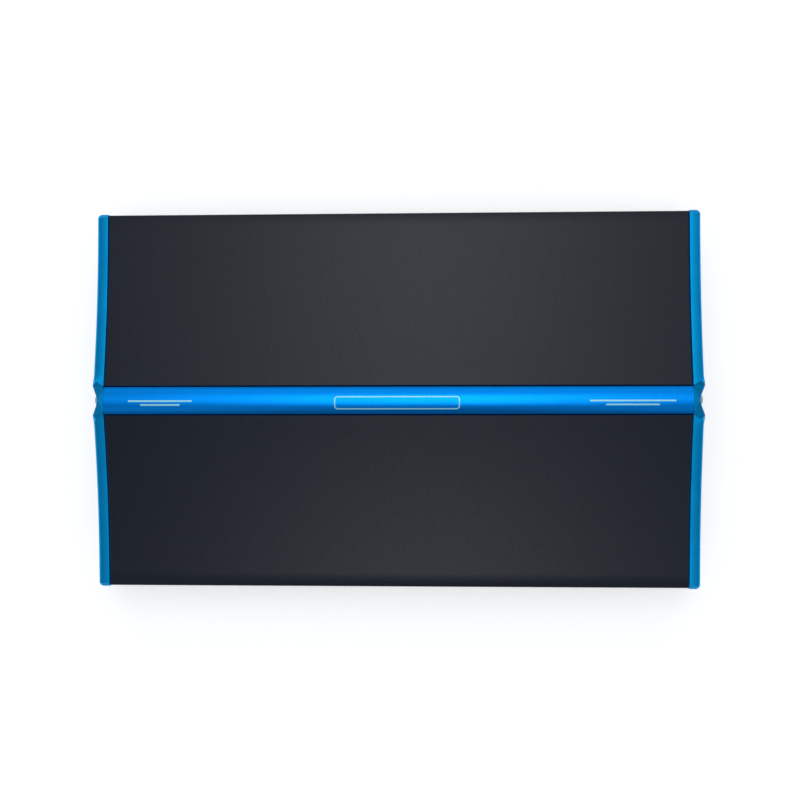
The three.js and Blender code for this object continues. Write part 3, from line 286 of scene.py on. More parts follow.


def dark_coat():
    """Fine-textured bluish black powder coat on the extrusion, with painted shade: a dark blue line along its
    joints with the caps and the trim, where the gaps lie in shadow.
    """
    paint = Paint("dark_coat", (0.0015, 0.0062, 0.0165), roughness=0.32, Specular_IOR_Level=0.33)
    grain = paint.noise(0.9 * MM, detail=3, rough=0.65)
    cloud = paint.noise(60 * MM, detail=2)
    paint.scale_colour(paint.spread(grain, 0.3, 0.7, 0.6, 1.4))
    paint.scale_colour(paint.spread(cloud, 0.3, 0.7, 0.94, 1.06))
    x, y, _ = paint.axes()
    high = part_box("heatsink")[1]
    at_cap = paint.spread(paint.math("ABSOLUTE", x), high.x - JOINT_SHADE_WIDTH - 0.2 * MM, high.x - JOINT_SHADE_WIDTH)
    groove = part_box("ridge_trim")[1].y + JOINT_SHADE_WIDTH
    at_trim = paint.spread(paint.math("ABSOLUTE", y), groove + 0.6 * MM, groove + 0.2 * MM)
    # painted shade: the coat turns dark blue and rougher along the gaps at the caps and the trim, standing in
    # for the shadow in them
    joint_shade = paint.math("MAXIMUM", at_cap, at_trim)
    paint.tint(joint_shade, (0.0, 0.03, 0.1))
    rough = paint.spread(grain, 0.3, 0.7, 0.26, 0.38)
    paint.vary("Roughness", paint.math("MAXIMUM", rough, joint_shade))
    paint.bump(paint.noise(0.45 * MM, detail=2), 0.05 * MM)
    paint.bump(paint.noise(1.3 * MM, detail=1), 0.06 * MM)
    return paint.finish()


PRINT_SILVER = (0.42, 0.9, 1.0)
MARK_Y = -1.6 * MM  # the printed marks lie a little below the trim's crest
PLATE = ((1.2 * MM, MARK_Y), (41.7 * MM, 4.4 * MM))
STRIPE_HALF = 0.55 * MM
STRIPE_GAP = 2.6 * MM


def blue_trim():
    """Bright blue anodised aluminium with fine drawing lines along X and plain printed marks."""
    paint = Paint("blue_trim", (0.002, 0.30, 1.0), roughness=0.34, metallic=1.0)
    lines = paint.noise(0.22 * MM, detail=3, place=paint.stretched((0.01, 1, 1)))
    roughness = paint.spread(lines, 0.3, 0.7, 0.3, 0.38)
    paint.scale_colour(paint.spread(lines, 0.3, 0.7, 0.93, 1.05))
    paint.bump(lines, 0.004 * MM)
    masks = [paint.outlined(paint.plan(*PLATE, 2.2 * MM), 0.75 * MM)]
    for middle, half in ((-157.4 * MM, 21.6 * MM), (156.4 * MM, 28.2 * MM)):
        for side in (-1, 1):
            centre = (middle, MARK_Y + side * STRIPE_GAP / 2)
            reach = half if side > 0 else half * 0.62
            masks.append(paint.filled(paint.plan(centre, (reach, STRIPE_HALF), STRIPE_HALF)))
    printed = masks[0]
    for mask in masks[1:]:
        printed = paint.math("MAXIMUM", printed, mask)
    paint.tint(printed, PRINT_SILVER)
    paint.vary("Metallic", paint.spread(printed, 0, 1, 1, 0.4))
    paint.vary("Roughness", paint.math("MAXIMUM", roughness, paint.math("MULTIPLY", printed, 0.5)))
    return paint.finish()


def blue_caps():
    """Blue anodised castings, bead-blasted before the anodising."""
    paint = Paint("blue_caps", (0.004, 0.39, 0.86), roughness=0.4, metallic=1.0)
    grain = paint.noise(0.5 * MM, detail=2)
    cloud = paint.noise(20 * MM, detail=2)
    paint.scale_colour(paint.spread(grain, 0.3, 0.7, 0.95, 1.05))
    paint.scale_colour(paint.spread(cloud, 0.3, 0.7, 0.95, 1.05))
    paint.vary("Roughness", paint.spread(grain, 0.3, 0.7, 0.36, 0.46))
    paint.bump(paint.noise(0.3 * MM, detail=2), 0.02 * MM)
    return paint.finish()


def black_steel():
    """Sheet steel under satin black paint with a slight orange peel and a few fine rubs."""
    paint = Paint("black_steel", (0.012, 0.0125, 0.014), roughness=0.42)
    rubs = paint.noise(3 * MM, detail=4, rough=0.7, place=paint.stretched((1, 0.08, 1)))
    dust = paint.noise(14 * MM, detail=3)
    paint.scale_colour(paint.spread(dust, 0.35, 0.7, 0.85, 1.4))
    paint.tint(paint.spread(rubs, 0.66, 0.74), (0.06, 0.06, 0.062), 0.5)
    paint.vary("Roughness", paint.spread(dust, 0.3, 0.7, 0.38, 0.5))
    paint.bump(paint.noise(1.1 * MM, detail=1), 0.03 * MM)
    return paint.finish()


def machined_metal(name, colour, roughness, tarnish, tarnish_colour):
    """Plated metal with fine turning marks and a little uneven tarnish."""
    paint = Paint(name, colour, roughness=roughness, metallic=1.0)
    marks = paint.noise(0.12 * MM, detail=3)
    stain = paint.noise(2.5 * MM, detail=4, rough=0.6)
    paint.tint(paint.spread(stain, 0.5, 0.75), tarnish_colour, tarnish)
    paint.scale_colour(paint.spread(marks, 0.3, 0.7, 0.92, 1.06))
    paint.vary("Roughness", paint.spread(stain, 0.35, 0.7, roughness * 0.8, roughness * 1.35))
    paint.bump(marks, 0.006 * MM)
    return paint.finish()


def moulded_plastic(name, colour, roughness=0.42, grain=0.25 * MM, depth=0.02 * MM):
    """Injection-moulded plastic with a spark-eroded grain and faint flow clouds."""
    paint = Paint(name, colour, roughness=roughness)
    fine = paint.noise(grain, detail=2)
    flow = paint.noise(9 * MM, detail=2, distortion=0.6)
    paint.scale_colour(paint.spread(flow, 0.3, 0.7, 0.85, 1.2))
    paint.vary("Roughness", paint.spread(fine, 0.3, 0.7, roughness * 0.85, roughness * 1.2))
    paint.bump(fine, depth)
    return paint.finish()


def tinted_lens(name, colour, glow):
    """Clear tinted plastic with moulded-in streaks, glowing a little: lit from inside on the lamps, painted
    light on a lens that is no lamp.
    """
    paint = Paint(name, colour, roughness=0.12, Transmission_Weight=0.55, IOR=1.49)
    streaks = paint.noise(0.8 * MM, detail=2, place=paint.stretched((0.3, 1, 1)))
    paint.scale_colour(paint.spread(streaks, 0.3, 0.7, 0.8, 1.15))
    paint.vary("Roughness", paint.spread(streaks, 0.3, 0.7, 0.08, 0.2))
    paint.shader.inputs["Emission Color"].default_value = (*colour, 1)
    paint.shader.inputs["Emission Strength"].default_value = glow
    return paint.finish()


PAD_PITCH = 5.08 * MM


def circuit_board():
    """Green solder mask over copper tracks, with rows of tinned pads."""
    paint = Paint("circuit_board", (0.006, 0.085, 0.035), roughness=0.3)
    x, y, _ = paint.axes()
    block = paint.cells(17 * MM, randomness=0.9)
    shift = paint.math("MULTIPLY", paint.spread(block, 0.2, 0.5), 3 * MM)
    across = paint.math("PINGPONG", paint.math("ADD", y, shift), PAD_PITCH / 4)
    along = paint.math("PINGPONG", paint.math("SUBTRACT", x, shift), PAD_PITCH / 4)
    zone = paint.spread(paint.noise(26 * MM, detail=0), 0.48, 0.5)
    rows = paint.spread(across, 0.62 * MM, 0.54 * MM)
    columns = paint.spread(along, 0.62 * MM, 0.54 * MM)
    other = paint.math("SUBTRACT", 1.0, zone)
    rows = paint.math("MULTIPLY", rows, zone)
    columns = paint.math("MULTIPLY", columns, other)
    tracks = paint.math("ADD", rows, columns)
    paint.tint(tracks, (0.03, 0.19, 0.07))
    off_x, off_y = [paint.math("PINGPONG", axis, PAD_PITCH / 2) for axis in (x, y)]
    square = paint.math("ADD", paint.math("POWER", off_x, 2), paint.math("POWER", off_y, 2))
    pads = paint.spread(square, (0.8 * MM) ** 2, (0.7 * MM) ** 2)
    paint.tint(paint.math("MULTIPLY", pads, zone), (0.55, 0.56, 0.57))
    paint.bump(tracks, 0.03 * MM)
    return paint.finish()


def enamelled_copper():
    """Copper wire under clear enamel, darker here and there where it has been hot."""
    paint = Paint("enamelled_copper", (0.62, 0.19, 0.06), roughness=0.28, metallic=0.9, Coat_Weight=0.6)
    heat = paint.noise(9 * MM, detail=3)
    fine = paint.noise(0.3 * MM, detail=2)
    paint.tint(paint.spread(heat, 0.45, 0.75), (0.2, 0.045, 0.02), 0.6)
    paint.scale_colour(paint.spread(fine, 0.3, 0.7, 0.9, 1.1))
    paint.vary("Roughness", paint.spread(heat, 0.3, 0.7, 0.22, 0.36))
    paint.bump(fine, 0.01 * MM)
    return paint.finish()


def fuse_body():
    """Clear green plastic of a 30 ampere blade fuse."""
    paint = Paint("fuse_body", (0.05, 0.55, 0.16), roughness=0.14, Transmission_Weight=0.6, IOR=1.57)
    flow = paint.noise(3 * MM, detail=2, distortion=0.8)
    paint.scale_colour(paint.spread(flow, 0.3, 0.7, 0.85, 1.15))
    paint.vary("Roughness", paint.spread(flow, 0.3, 0.7, 0.1, 0.2))
    paint.bump(paint.noise(0.5 * MM, detail=1), 0.008 * MM)
    return paint.finish()


def plain_floor():
    """Matt white board that glows a little, so that it stays pale round the object."""
    paint = Paint("floor", (0.93, 0.93, 0.93), roughness=0.85)
    paint.shader.inputs["Emission Color"].default_value = (1, 1, 1, 1)
    paint.shader.inputs["Emission Strength"].default_value = 0.5
    paint.scale_colour(paint.spread(paint.noise(0.9, detail=2), 0.3, 0.7, 0.99, 1.0))
    return paint.finish()


# ---- Carried-over CAD nodes ---------------------------------------------------------------


def smoothing_group(angle):
    """Geometry nodes that join a CAD mesh's split corners and shade it smooth below an angle."""
    group = bpy.data.node_groups.new("joined_and_smoothed", "GeometryNodeTree")
    group.interface.new_socket("Geometry", in_out="INPUT", socket_type="NodeSocketGeometry")
    group.interface.new_socket("Geometry", in_out="OUTPUT", socket_type="NodeSocketGeometry")
    make = group.nodes.new
    start, end = make("NodeGroupInput"), make("NodeGroupOutput")
    bare = make("GeometryNodeRemoveAttribute")
    bare.inputs["Name"].default_value = "custom_normal"
    merge = make("GeometryNodeMergeByDistance")
    merge.inputs["Distance"].default_value = 0.002 * MM
    turn = make("GeometryNodeInputMeshEdgeAngle")
    sharp = make("FunctionNodeCompare")
    sharp.operation = "LESS_EQUAL"
    sharp.inputs[1].default_value = angle
    faces, edges = make("GeometryNodeSetShadeSmooth"), make("GeometryNodeSetShadeSmooth")
    edges.domain = "EDGE"
    link = group.links.new
    link(start.outputs[0], bare.inputs["Geometry"])
    link(bare.outputs[0], merge.inputs["Geometry"])
    link(merge.outputs[0], faces.inputs["Geometry"])
    link(faces.outputs[0], edges.inputs["Geometry"])
    link(turn.outputs["Unsigned Angle"], sharp.inputs[0])
    link(sharp.outputs[0], edges.inputs["Shade Smooth"])
    link(edges.outputs[0], end.inputs[0])
    return group


SHARP_ANGLE = math.radians(32)  # edges that turn by more than this are edges of the real object
SMOOTHING = smoothing_group(SHARP_ANGLE)


def soften(node, bevel=0.0, segments=2):
    """Joins a CAD node's split corners and rounds its edges with modifiers."""
    piece = NODES[node]
    joined = piece.modifiers.new("joined", "NODES")
    joined.node_group = SMOOTHING
    if bevel:
        rounded = piece.modifiers.new("rounded", "BEVEL")
        rounded.width = bevel
        rounded.segments = segments
        rounded.limit_method = "ANGLE"
        rounded.angle_limit = SHARP_ANGLE
        rounded.harden_normals = True


def coat(material, *nodes):
    """Gives CAD nodes a material."""
    for node in nodes:
        piece = NODES[node]
        piece.data.materials.clear()
        piece.data.materials.append(material)


# ---- Mesh tools ---------------------------------------------------------------------------


def facing(sign, x, y, z):
    """Places a local frame on an end panel: local Z points out along +X or -X, and local Y up."""
    outward, up = Vector((sign, 0, 0)), Vector((0, 0, 1))
    right = up.cross(outward)
    turn = Matrix((right, up, outward)).transposed().to_4x4()
    return Matrix.Translation((x, y, z)) @ turn


def standing(x, y, z):
    """Places a local frame whose Z points up."""
    return Matrix.Translation((x, y, z))


def ring_points(radius, sides, height, wave=lambda angle: 0.0):
    """Points on a level circle about local Z; the wave is added to the radius."""
    angles = [2 * math.pi * i / sides for i in range(sides)]
    return [
        Vector(((radius + wave(a)) * math.cos(a), (radius + wave(a)) * math.sin(a), height))
        for a in angles
    ]


def skin(mesh, rings, place, material=0, closed=False):
    """Joins rings of the same number of points with quads.

    A closed skin joins its last ring to its first.
    """
    made = [[mesh.verts.new(place @ point) for point in ring] for ring in rings]
    pairs = list(zip(made, made[1:]))
    if closed:
        pairs.append((made[-1], made[0]))
    for low, high in pairs:
        for i in range(len(low)):
            j = (i + 1) % len(low)
            face = mesh.faces.new((low[i], low[j], high[j], high[i]))
            face.material_index = material
    return made


def lid(mesh, ring, material=0, flip=False):
    """Closes a ring with one face."""
    face = mesh.faces.new(list(reversed(ring)) if flip else ring)
    face.material_index = material


def lathe(mesh, profile, place, sides=32, wave=lambda angle, i: 0.0):
    """Turns a profile of (radius, height) from bottom to top about local Z and closes both ends."""
    rings = [
        ring_points(radius, sides, height, lambda a, i=i: wave(a, i))
        for i, (radius, height) in enumerate(profile)
    ]
    made = skin(mesh, rings, place)
    lid(mesh, made[0], flip=True)
    lid(mesh, made[-1])


def tube(mesh, profile, place, sides=32):
    """Turns a closed profile of (radius, height) about local Z into a ring."""
    rings = [ring_points(radius, sides, height) for radius, height in profile]
    skin(mesh, rings, place, closed=True)


def prism(mesh, outline, low, high, place):
    """Extrudes a plan outline, given anticlockwise, between two heights."""
    rings = [[Vector((x, y, z)) for x, y in outline] for z in (low, high)]
    made = skin(mesh, rings, place)
    lid(mesh, made[0], flip=True)
    lid(mesh, made[1])


INK_THICK = 0.05 * MM
INK_LIFT = 0.03 * MM  # from the panel to the middle of the ink
LEAST_CUT = 0.001 * MM  # keeps a slab's corner points apart where it has no chamfer


def slab(mesh, centre, size, place, material=0, chamfer=0.0):
    """A block with its four upright edges and its top edges chamfered."""
    half = [length / 2 for length in size]

    def level(inset, height):
        x, y, c = half[0] - inset, half[1] - inset, max(chamfer - inset, 0) + LEAST_CUT
        right = [(x - c, -y), (x, c - y), (x, y - c), (x - c, y)]
        corners = right + [(-px, -py) for px, py in right]
        return [Vector((centre[0] + px, centre[1] + py, centre[2] + height)) for px, py in corners]

    levels = [level(0, -half[2]), level(0, half[2] - chamfer), level(chamfer * 0.7, half[2])]
    if not chamfer:
        levels.pop()
    made = skin(mesh, levels, place, material)
    lid(mesh, made[0], material, flip=True)
    lid(mesh, made[-1], material)


def printed_bar(mesh, x, y, width, height, place):
    """A bar of ink on a panel."""
    slab(mesh, (x, y, INK_LIFT), (width, height, INK_THICK), place)


def cross_outline(size, width):
    """The twelve corners of a cross, anticlockwise."""
    w = width / 2
    right, top = [(size, -w), (size, w), (w, w)], [(w, size), (-w, size), (-w, w)]
    return right + top + [(-x, -y) for x, y in right + top]


def pan_head(mesh, radius, height, place):
    """A domed screw head with a cross recess, its seat at local Z = 0."""
    sides = 24
    curve = [
        (radius, 0),
        (radius, height * 0.45),
        (radius * 0.93, height * 0.75),
        (radius * 0.76, height),
    ]
    made = skin(mesh, [ring_points(r, sides, z) for r, z in curve], place)
    lid(mesh, made[0], flip=True)
    cross = cross_outline(radius * 0.52, radius * 0.2)
    rim = [mesh.verts.new(place @ Vector((x, y, height))) for x, y in cross]
    floor_ring = [mesh.verts.new(place @ Vector((x * 0.8, y * 0.8, height * 0.35))) for x, y in cross]
    for i in range(len(rim)):
        j = (i + 1) % len(rim)
        mesh.faces.new((rim[i], floor_ring[i], floor_ring[j], rim[j]))
    lid(mesh, floor_ring)
    edges = []
    for loop in (made[-1], rim):
        for i in range(len(loop)):
            ends = (loop[i], loop[(i + 1) % len(loop)])
            edges.append(mesh.edges.get(ends) or mesh.edges.new(ends))
    bmesh.ops.triangle_fill(mesh, use_beauty=True, use_dissolve=False, edges=edges)


def make_piece(name, mesh, materials, body=CHASSIS, smooth=40, stands_for=()):
    """Turns a bmesh into a named piece that rides on a CAD body."""
    bmesh.ops.recalc_face_normals(mesh, faces=mesh.faces)
    for face in mesh.faces:
        face.smooth = True
    for edge in mesh.edges:
        if len(edge.link_faces) == 2:
            edge.smooth = edge.calc_face_angle(0) < math.radians(smooth)
    data = bpy.data.meshes.new(name)
    mesh.to_mesh(data)
    mesh.free()
    for material in materials:
        data.materials.append(material)
    piece = bpy.data.objects.new(name, data)
    bpy.context.scene.collection.objects.link(piece)
    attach(piece, body)
    if stands_for:
        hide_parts(*stands_for)
    return piece


def middle(node):
    """The centre of a CAD node's box."""
    low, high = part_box(node)
    return (low + high) / 2


# ---- Cap lenses ---------------------------------------------------------------------------


def cap_lens(side, sign, plastic):
    """A clear dome that stands out of the sloping floor of the scoop in an end cap."""
    low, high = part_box(f"end_cap_{side}")
    tip = high.x if sign > 0 else low.x
    radius, depth = 5.4 * MM, 4.0 * MM
    setback, drop = 5.1 * MM, 8 * MM  # of the dome's foot behind the cap's tips and under its crest
    place = facing(sign, tip - sign * setback, 0, high.z - drop)
    bands = 7
    curve = [math.radians(85 * i / bands) for i in range(bands + 1)]
    profile = [(radius, -0.6 * MM)] + [(radius * math.cos(a), depth * math.sin(a)) for a in curve]
    mesh = bmesh.new()
    lathe(mesh, profile, place, sides=40)
    make_piece(f"cap_lens_{side}", mesh, [plastic])


# ---- Signal end ---------------------------------------------------------------------------


def fluted_knob(name, plastic, paint):
    """A control knob with fluted sides, a dished face and a painted pointer."""
    node = f"{name}_knob"
    low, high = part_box(node)
    centre = middle(node)
    radius = (high.y - low.y) / 2
    face = high.x
    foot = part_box(f"{name}_pot")[1].x + 0.6 * MM
    height = face - foot
    place = facing(1, foot, centre.y, centre.z)
    flutes = 18
    depths = [0, 0.3, 0.42, 0.42, 0.2, 0, 0, 0]  # of the flutes in millimetres, ring by ring
    mesh = bmesh.new()
    profile = [
        (radius - 0.3 * MM, 0),
        (radius, 0.5 * MM),
        (radius, 1.6 * MM),
        (radius - 0.15 * MM, height - 1.1 * MM),
        (radius - 0.45 * MM, height - 0.4 * MM),
        (radius - 1.0 * MM, height - 0.1 * MM),
        (radius - 1.5 * MM, height - 0.35 * MM),
        (radius * 0.3, height - 0.5 * MM),
    ]

    def wave(angle, i):
        return -depths[i] * MM * (0.5 + 0.5 * math.cos(flutes * angle)) ** 2

    lathe(mesh, profile, place, sides=flutes * 8, wave=wave)
    shaft = [(1.5 * MM, low.x - foot), (1.5 * MM, 0.2 * MM)]
    lathe(mesh, shaft, place, sides=20)
    pointer = (0, (radius - 1.1 * MM) / 2 + 0.55 * MM, height - 0.35 * MM)
    slab(mesh, pointer, (0.8 * MM, radius - 1.9 * MM, 0.7 * MM), place, material=1, chamfer=0.2 * MM)
    make_piece(f"{node}_fluted", mesh, [plastic, paint], node, stands_for=[node])


DIAL_TICKS = 11
DIAL_RADIUS = 5.9 * MM  # from the knob's axis to the ticks
KNOB_TURN = math.radians(140)  # to each side of the middle


def dial_marks(name, ink):
    """Eleven printed ticks round a knob, longer at the ends and at the middle."""
    centre = middle(f"{name}_knob")
    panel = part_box("signal_panel")[1].x
    mesh = bmesh.new()
    place = facing(1, panel, centre.y, centre.z)
    for i in range(DIAL_TICKS):
        angle = KNOB_TURN * (2 * i / (DIAL_TICKS - 1) - 1)
        length = (1.5 if i % 5 == 0 else 0.9) * MM
        turn = place @ Matrix.Rotation(angle, 4, "Z")
        printed_bar(mesh, 0, DIAL_RADIUS + length / 2, 0.34 * MM, length, turn)
    make_piece(f"{name}_dial_marks", mesh, [ink])


def ribbed_slider(name, plastic):
    """A switch slider with two grip grooves across its tip."""
    node = f"{name}_slider"
    low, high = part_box(node)
    half, length = (high.y - low.y) / 2, high.x - low.x
    mesh = bmesh.new()
    groove_floor = length - 0.55 * MM
    shoulder = [(half, length - 0.9 * MM), (half - 0.25 * MM, length - 0.2 * MM)]
    outline = [(half, 0)] + shoulder
    for y in (1.1 * MM, 0):
        outline += [(y + 0.35 * MM, length), (y + 0.15 * MM, groove_floor)]
        outline += [(y - 0.3 * MM, groove_floor), (y - 0.4 * MM, length)]
    outline += [(-y, x) for y, x in reversed(shoulder)] + [(-half, 0)]
    centre = middle(node)
    place = Matrix.Translation((low.x, centre.y, centre.z)) @ Matrix.Rotation(math.radians(-90), 4, "Z")
    height = (high.z - low.z) / 2
    prism(mesh, outline, -height, height, place)
    make_piece(f"{node}_ribbed", mesh, [plastic], node, stands_for=[node])


def switch_marks(name, ink):
    """A printed bar over a slide switch with a dot at each end of its travel."""
    centre = middle(f"{name}_switch")
    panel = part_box("signal_panel")[1].x
    place = facing(1, panel, centre.y, centre.z)
    mesh = bmesh.new()
    rise, width = 4.6 * MM, 7 * MM
    printed_bar(mesh, 0, rise, width, 0.35 * MM, place)
    for side in (-1, 1):
        dot = place @ standing(side * width / 2, rise, 0)
        lathe(mesh, [(0.5 * MM, 0), (0.5 * MM, INK_THICK)], dot, 16)
    make_piece(f"{name}_switch_marks", mesh, [ink])


def socket_trim(index, colour, gold):
    """The coloured collar, the insulator and the contact of a phono socket."""
    node = f"rca_socket_{index}"
    low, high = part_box(node)
    centre = middle(node)
    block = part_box("rca_block")[1].x
    radius = (high.y - low.y) / 2
    mesh = bmesh.new()
    collar = facing(1, block, centre.y, centre.z)
    inner, outer = radius + 0.1 * MM, radius + 1.15 * MM
    ring = [
        (inner, 0.05 * MM),
        (outer, 0.05 * MM),
        (outer, 1.1 * MM),
        (outer - 0.35 * MM, 1.5 * MM),
        (inner, 1.5 * MM),
    ]
    tube(mesh, ring, collar)
    front = facing(1, high.x, centre.y, centre.z)
    insulator = [
        (1.65 * MM, -0.4 * MM),
        (1.65 * MM, 0.12 * MM),
        (3.3 * MM, 0.12 * MM),
        (3.45 * MM, -0.05 * MM),
    ]
    tube(mesh, insulator, front)
    make_piece(f"{node}_collar", mesh, [colour])
    contact = bmesh.new()
    hole, wall, deep, mouth = 1.2 * MM, 1.55 * MM, -8 * MM, -0.3 * MM
    tube(contact, [(hole, deep), (wall, deep), (wall, mouth), (hole, mouth)], front, 20)
    make_piece(f"{node}_contact", contact, [gold])


def jack_contacts(gold):
    """Six sprung wires that slope back into the remote port."""
    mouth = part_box("bass_remote_jack")[1].x
    centre = middle("bass_remote_jack")
    wire = 0.18 * MM
    mesh = bmesh.new()
    for i in range(6):
        y = centre.y + (i - 2.5) * 1.02 * MM
        path = [
            (mouth - 1.2 * MM, centre.z + 3.1 * MM),
            (mouth - 2.2 * MM, centre.z + 2.6 * MM),
            (mouth - 8.5 * MM, centre.z - 0.4 * MM),
            (mouth - 9.6 * MM, centre.z - 0.3 * MM),
        ]
        turns = [2 * math.pi * k / 8 for k in range(8)]
        section = [Vector((0.5 * math.sin(a), math.cos(a), math.sin(a))) * wire for a in turns]
        rings = [[Vector((x, y, z)) + point for point in section] for x, z in path]
        made = skin(mesh, rings, Matrix.Identity(4))
        lid(mesh, made[0], flip=True)
        lid(mesh, made[-1])
    make_piece("remote_jack_contacts", mesh, [gold])


# ---- Power end ----------------------------------------------------------------------------


SPEAKER_BAYS = 8
BAY_BARRIER = 2 * MM  # thickness of the walls between the bays


def speaker_clamps(metal, brass):
    """A square washer and a pan-head screw in each bay of the speaker strip."""
    low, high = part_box("speaker_terminal_block")
    pitch = (high.y - low.y - BAY_BARRIER) / SPEAKER_BAYS
    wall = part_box("power_panel")[0].x - 5 * MM
    z = (low.z + high.z) / 2
    for i in range(SPEAKER_BAYS):
        y = low.y + BAY_BARRIER / 2 + pitch * (i + 0.5)
        place = facing(-1, wall - 0.1 * MM, y, z)
        mesh = bmesh.new()
        slab(mesh, (0, 0, 0.4 * MM), (6.8 * MM, 7.6 * MM, 0.8 * MM), place, material=1, chamfer=0.25 * MM)
        for side in (-1, 1):
            slab(mesh, (side * 3.2 * MM, 0, 0.95 * MM), (0.5 * MM, 7.0 * MM, 0.5 * MM), place, 1, 0.1 * MM)
        pan_head(mesh, 2.9 * MM, 2.0 * MM, place @ standing(0, 0, 0.8 * MM))
        make_piece(f"speaker_clamp_screw_{i + 1}", mesh, [metal, brass])


def bay_marks(ink):
    """Plus and minus signs over the terminals, and the bars that pair them into channels."""
    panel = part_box("power_panel")[0].x
    mesh = bmesh.new()
    low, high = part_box("speaker_terminal_block")
    pitch = (high.y - low.y - BAY_BARRIER) / SPEAKER_BAYS
    start, z = low.y + BAY_BARRIER / 2, high.z + 2.6 * MM
    for i in range(SPEAKER_BAYS):
        place = facing(-1, panel, start + pitch * (i + 0.5), z)
        printed_bar(mesh, 0, 0, 1.7 * MM, 0.4 * MM, place)
        if i % 2:
            for side in (1, -1):
                printed_bar(mesh, 0, side * 0.62 * MM, 0.4 * MM, 0.84 * MM, place)
    for channel in range(SPEAKER_BAYS // 2):
        place = facing(-1, panel, start + pitch * (2 * channel + 1), z)
        printed_bar(mesh, 0, 2.4 * MM, pitch * 1.5, 0.3 * MM, place)
    make_piece("speaker_bay_marks", mesh, [ink])


def panel_screws(metal):
    """Two small screws at each end of both end panels."""
    for side, panel, sign in (("power", "power_panel", -1), ("signal", "signal_panel", 1)):
        low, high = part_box(panel)
        face = high.x if sign > 0 else low.x
        mesh = bmesh.new()
        for y in (low.y + 6 * MM, high.y - 6 * MM):
            for z in (9 * MM, 25 * MM):
                pan_head(mesh, 2.5 * MM, 1.5 * MM, facing(sign, face, y, z))
        make_piece(f"{side}_panel_screws", mesh, [metal])


def blade_fuse(index, plastic, metal):
    """A blade fuse: a clear shouldered body, two tinned blades and the link between them."""
    node = f"fuse_{index}"
    low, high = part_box(node)
    centre = middle(node)
    width, thick = high.z - low.z, high.y - low.y
    seat = low.x + 12 * MM
    crown = 3.6 * MM
    place = facing(-1, seat, centre.y, centre.z)
    wide, narrow, tall = width / 2, width / 2 - 1.5 * MM, seat - low.x
    right = [(narrow, 0), (narrow, tall - crown), (wide, tall - crown)]
    right += [(wide, tall - 0.6 * MM), (wide - 0.6 * MM, tall)]
    outline = right + [(-x, y) for x, y in reversed(right)]
    upright = place @ Matrix(((0, 0, 1, 0), (1, 0, 0, 0), (0, 1, 0, 0), (0, 0, 0, 1)))
    shell = bmesh.new()
    prism(shell, outline, -thick / 2, thick / 2, upright)
    body = make_piece(f"{node}_body", shell, [plastic], node, stands_for=[node])
    rounded = body.modifiers.new("rounded", "BEVEL")
    rounded.width = 0.45 * MM
    rounded.segments = 3
    rounded.limit_method = "ANGLE"
    inside = bmesh.new()
    blade = 2.6 * MM
    root, tip = tall - 1.2 * MM, seat - high.x
    half_plate = [(-blade, root), (-blade, tip + 1.2 * MM), (1 * MM - blade, tip)]
    half_plate += [(-x, y) for x, y in reversed(half_plate)]
    for side in (-1, 1):
        middle_line = side * (width / 2 - 1.5 * MM - blade)
        plate = [(middle_line + x, y) for x, y in half_plate]
        prism(inside, plate, -0.4 * MM, 0.4 * MM, upright)
    steps = 16
    half_link, half_thick = 0.35 * MM, 0.15 * MM
    section = [(a * half_link, b * half_thick) for a, b in ((-1, -1), (1, -1), (1, 1), (-1, 1))]
    rings = []
    for i in range(steps + 1):
        along = i / steps * 2 - 1
        across, rise = along * 3.0 * MM, (5.5 + 2.2 * math.cos(math.pi * along)) * MM
        rings.append([Vector((across, rise + up, out)) for up, out in section])
    made = skin(inside, rings, upright)
    lid(inside, made[0], flip=True)
    lid(inside, made[-1])
    make_piece(f"{node}_blades", inside, [metal], node)


# ---- Inside -------------------------------------------------------------------------------


def wound_ring(node, turns, wire, hole, copper):
    """A ring core with a hole of that radius, under one layer of wire whose turns stand out."""
    low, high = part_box(node)
    centre = middle(node)
    outer = (high.x - low.x) / 2
    height = high.z - low.z
    mid_radius, half_width = (outer + hole) / 2, (outer - hole) / 2 - wire / 2
    half_height = height / 2 - wire / 2
    around, across = turns * 6, 24
    rings = []
    for i in range(around):
        angle = 2 * math.pi * i / around
        lift = wire / 2 * abs(math.sin(turns * angle / 2))
        ring = []
        for k in range(across):
            a = 2 * math.pi * k / across
            c, s = math.cos(a), math.sin(a)
            bulge = (abs(c) ** 5 + abs(s) ** 5) ** (-1 / 5)
            r = mid_radius + (half_width + lift) * c * bulge
            z = (half_height + lift) * s * bulge
            ring.append(Vector((r * math.cos(angle), r * math.sin(angle), z)))
        rings.append(ring)
    mesh = bmesh.new()
    skin(mesh, rings, standing(*centre), closed=True)
    make_piece(f"{node}_winding", mesh, [copper], smooth=80, stands_for=[node])


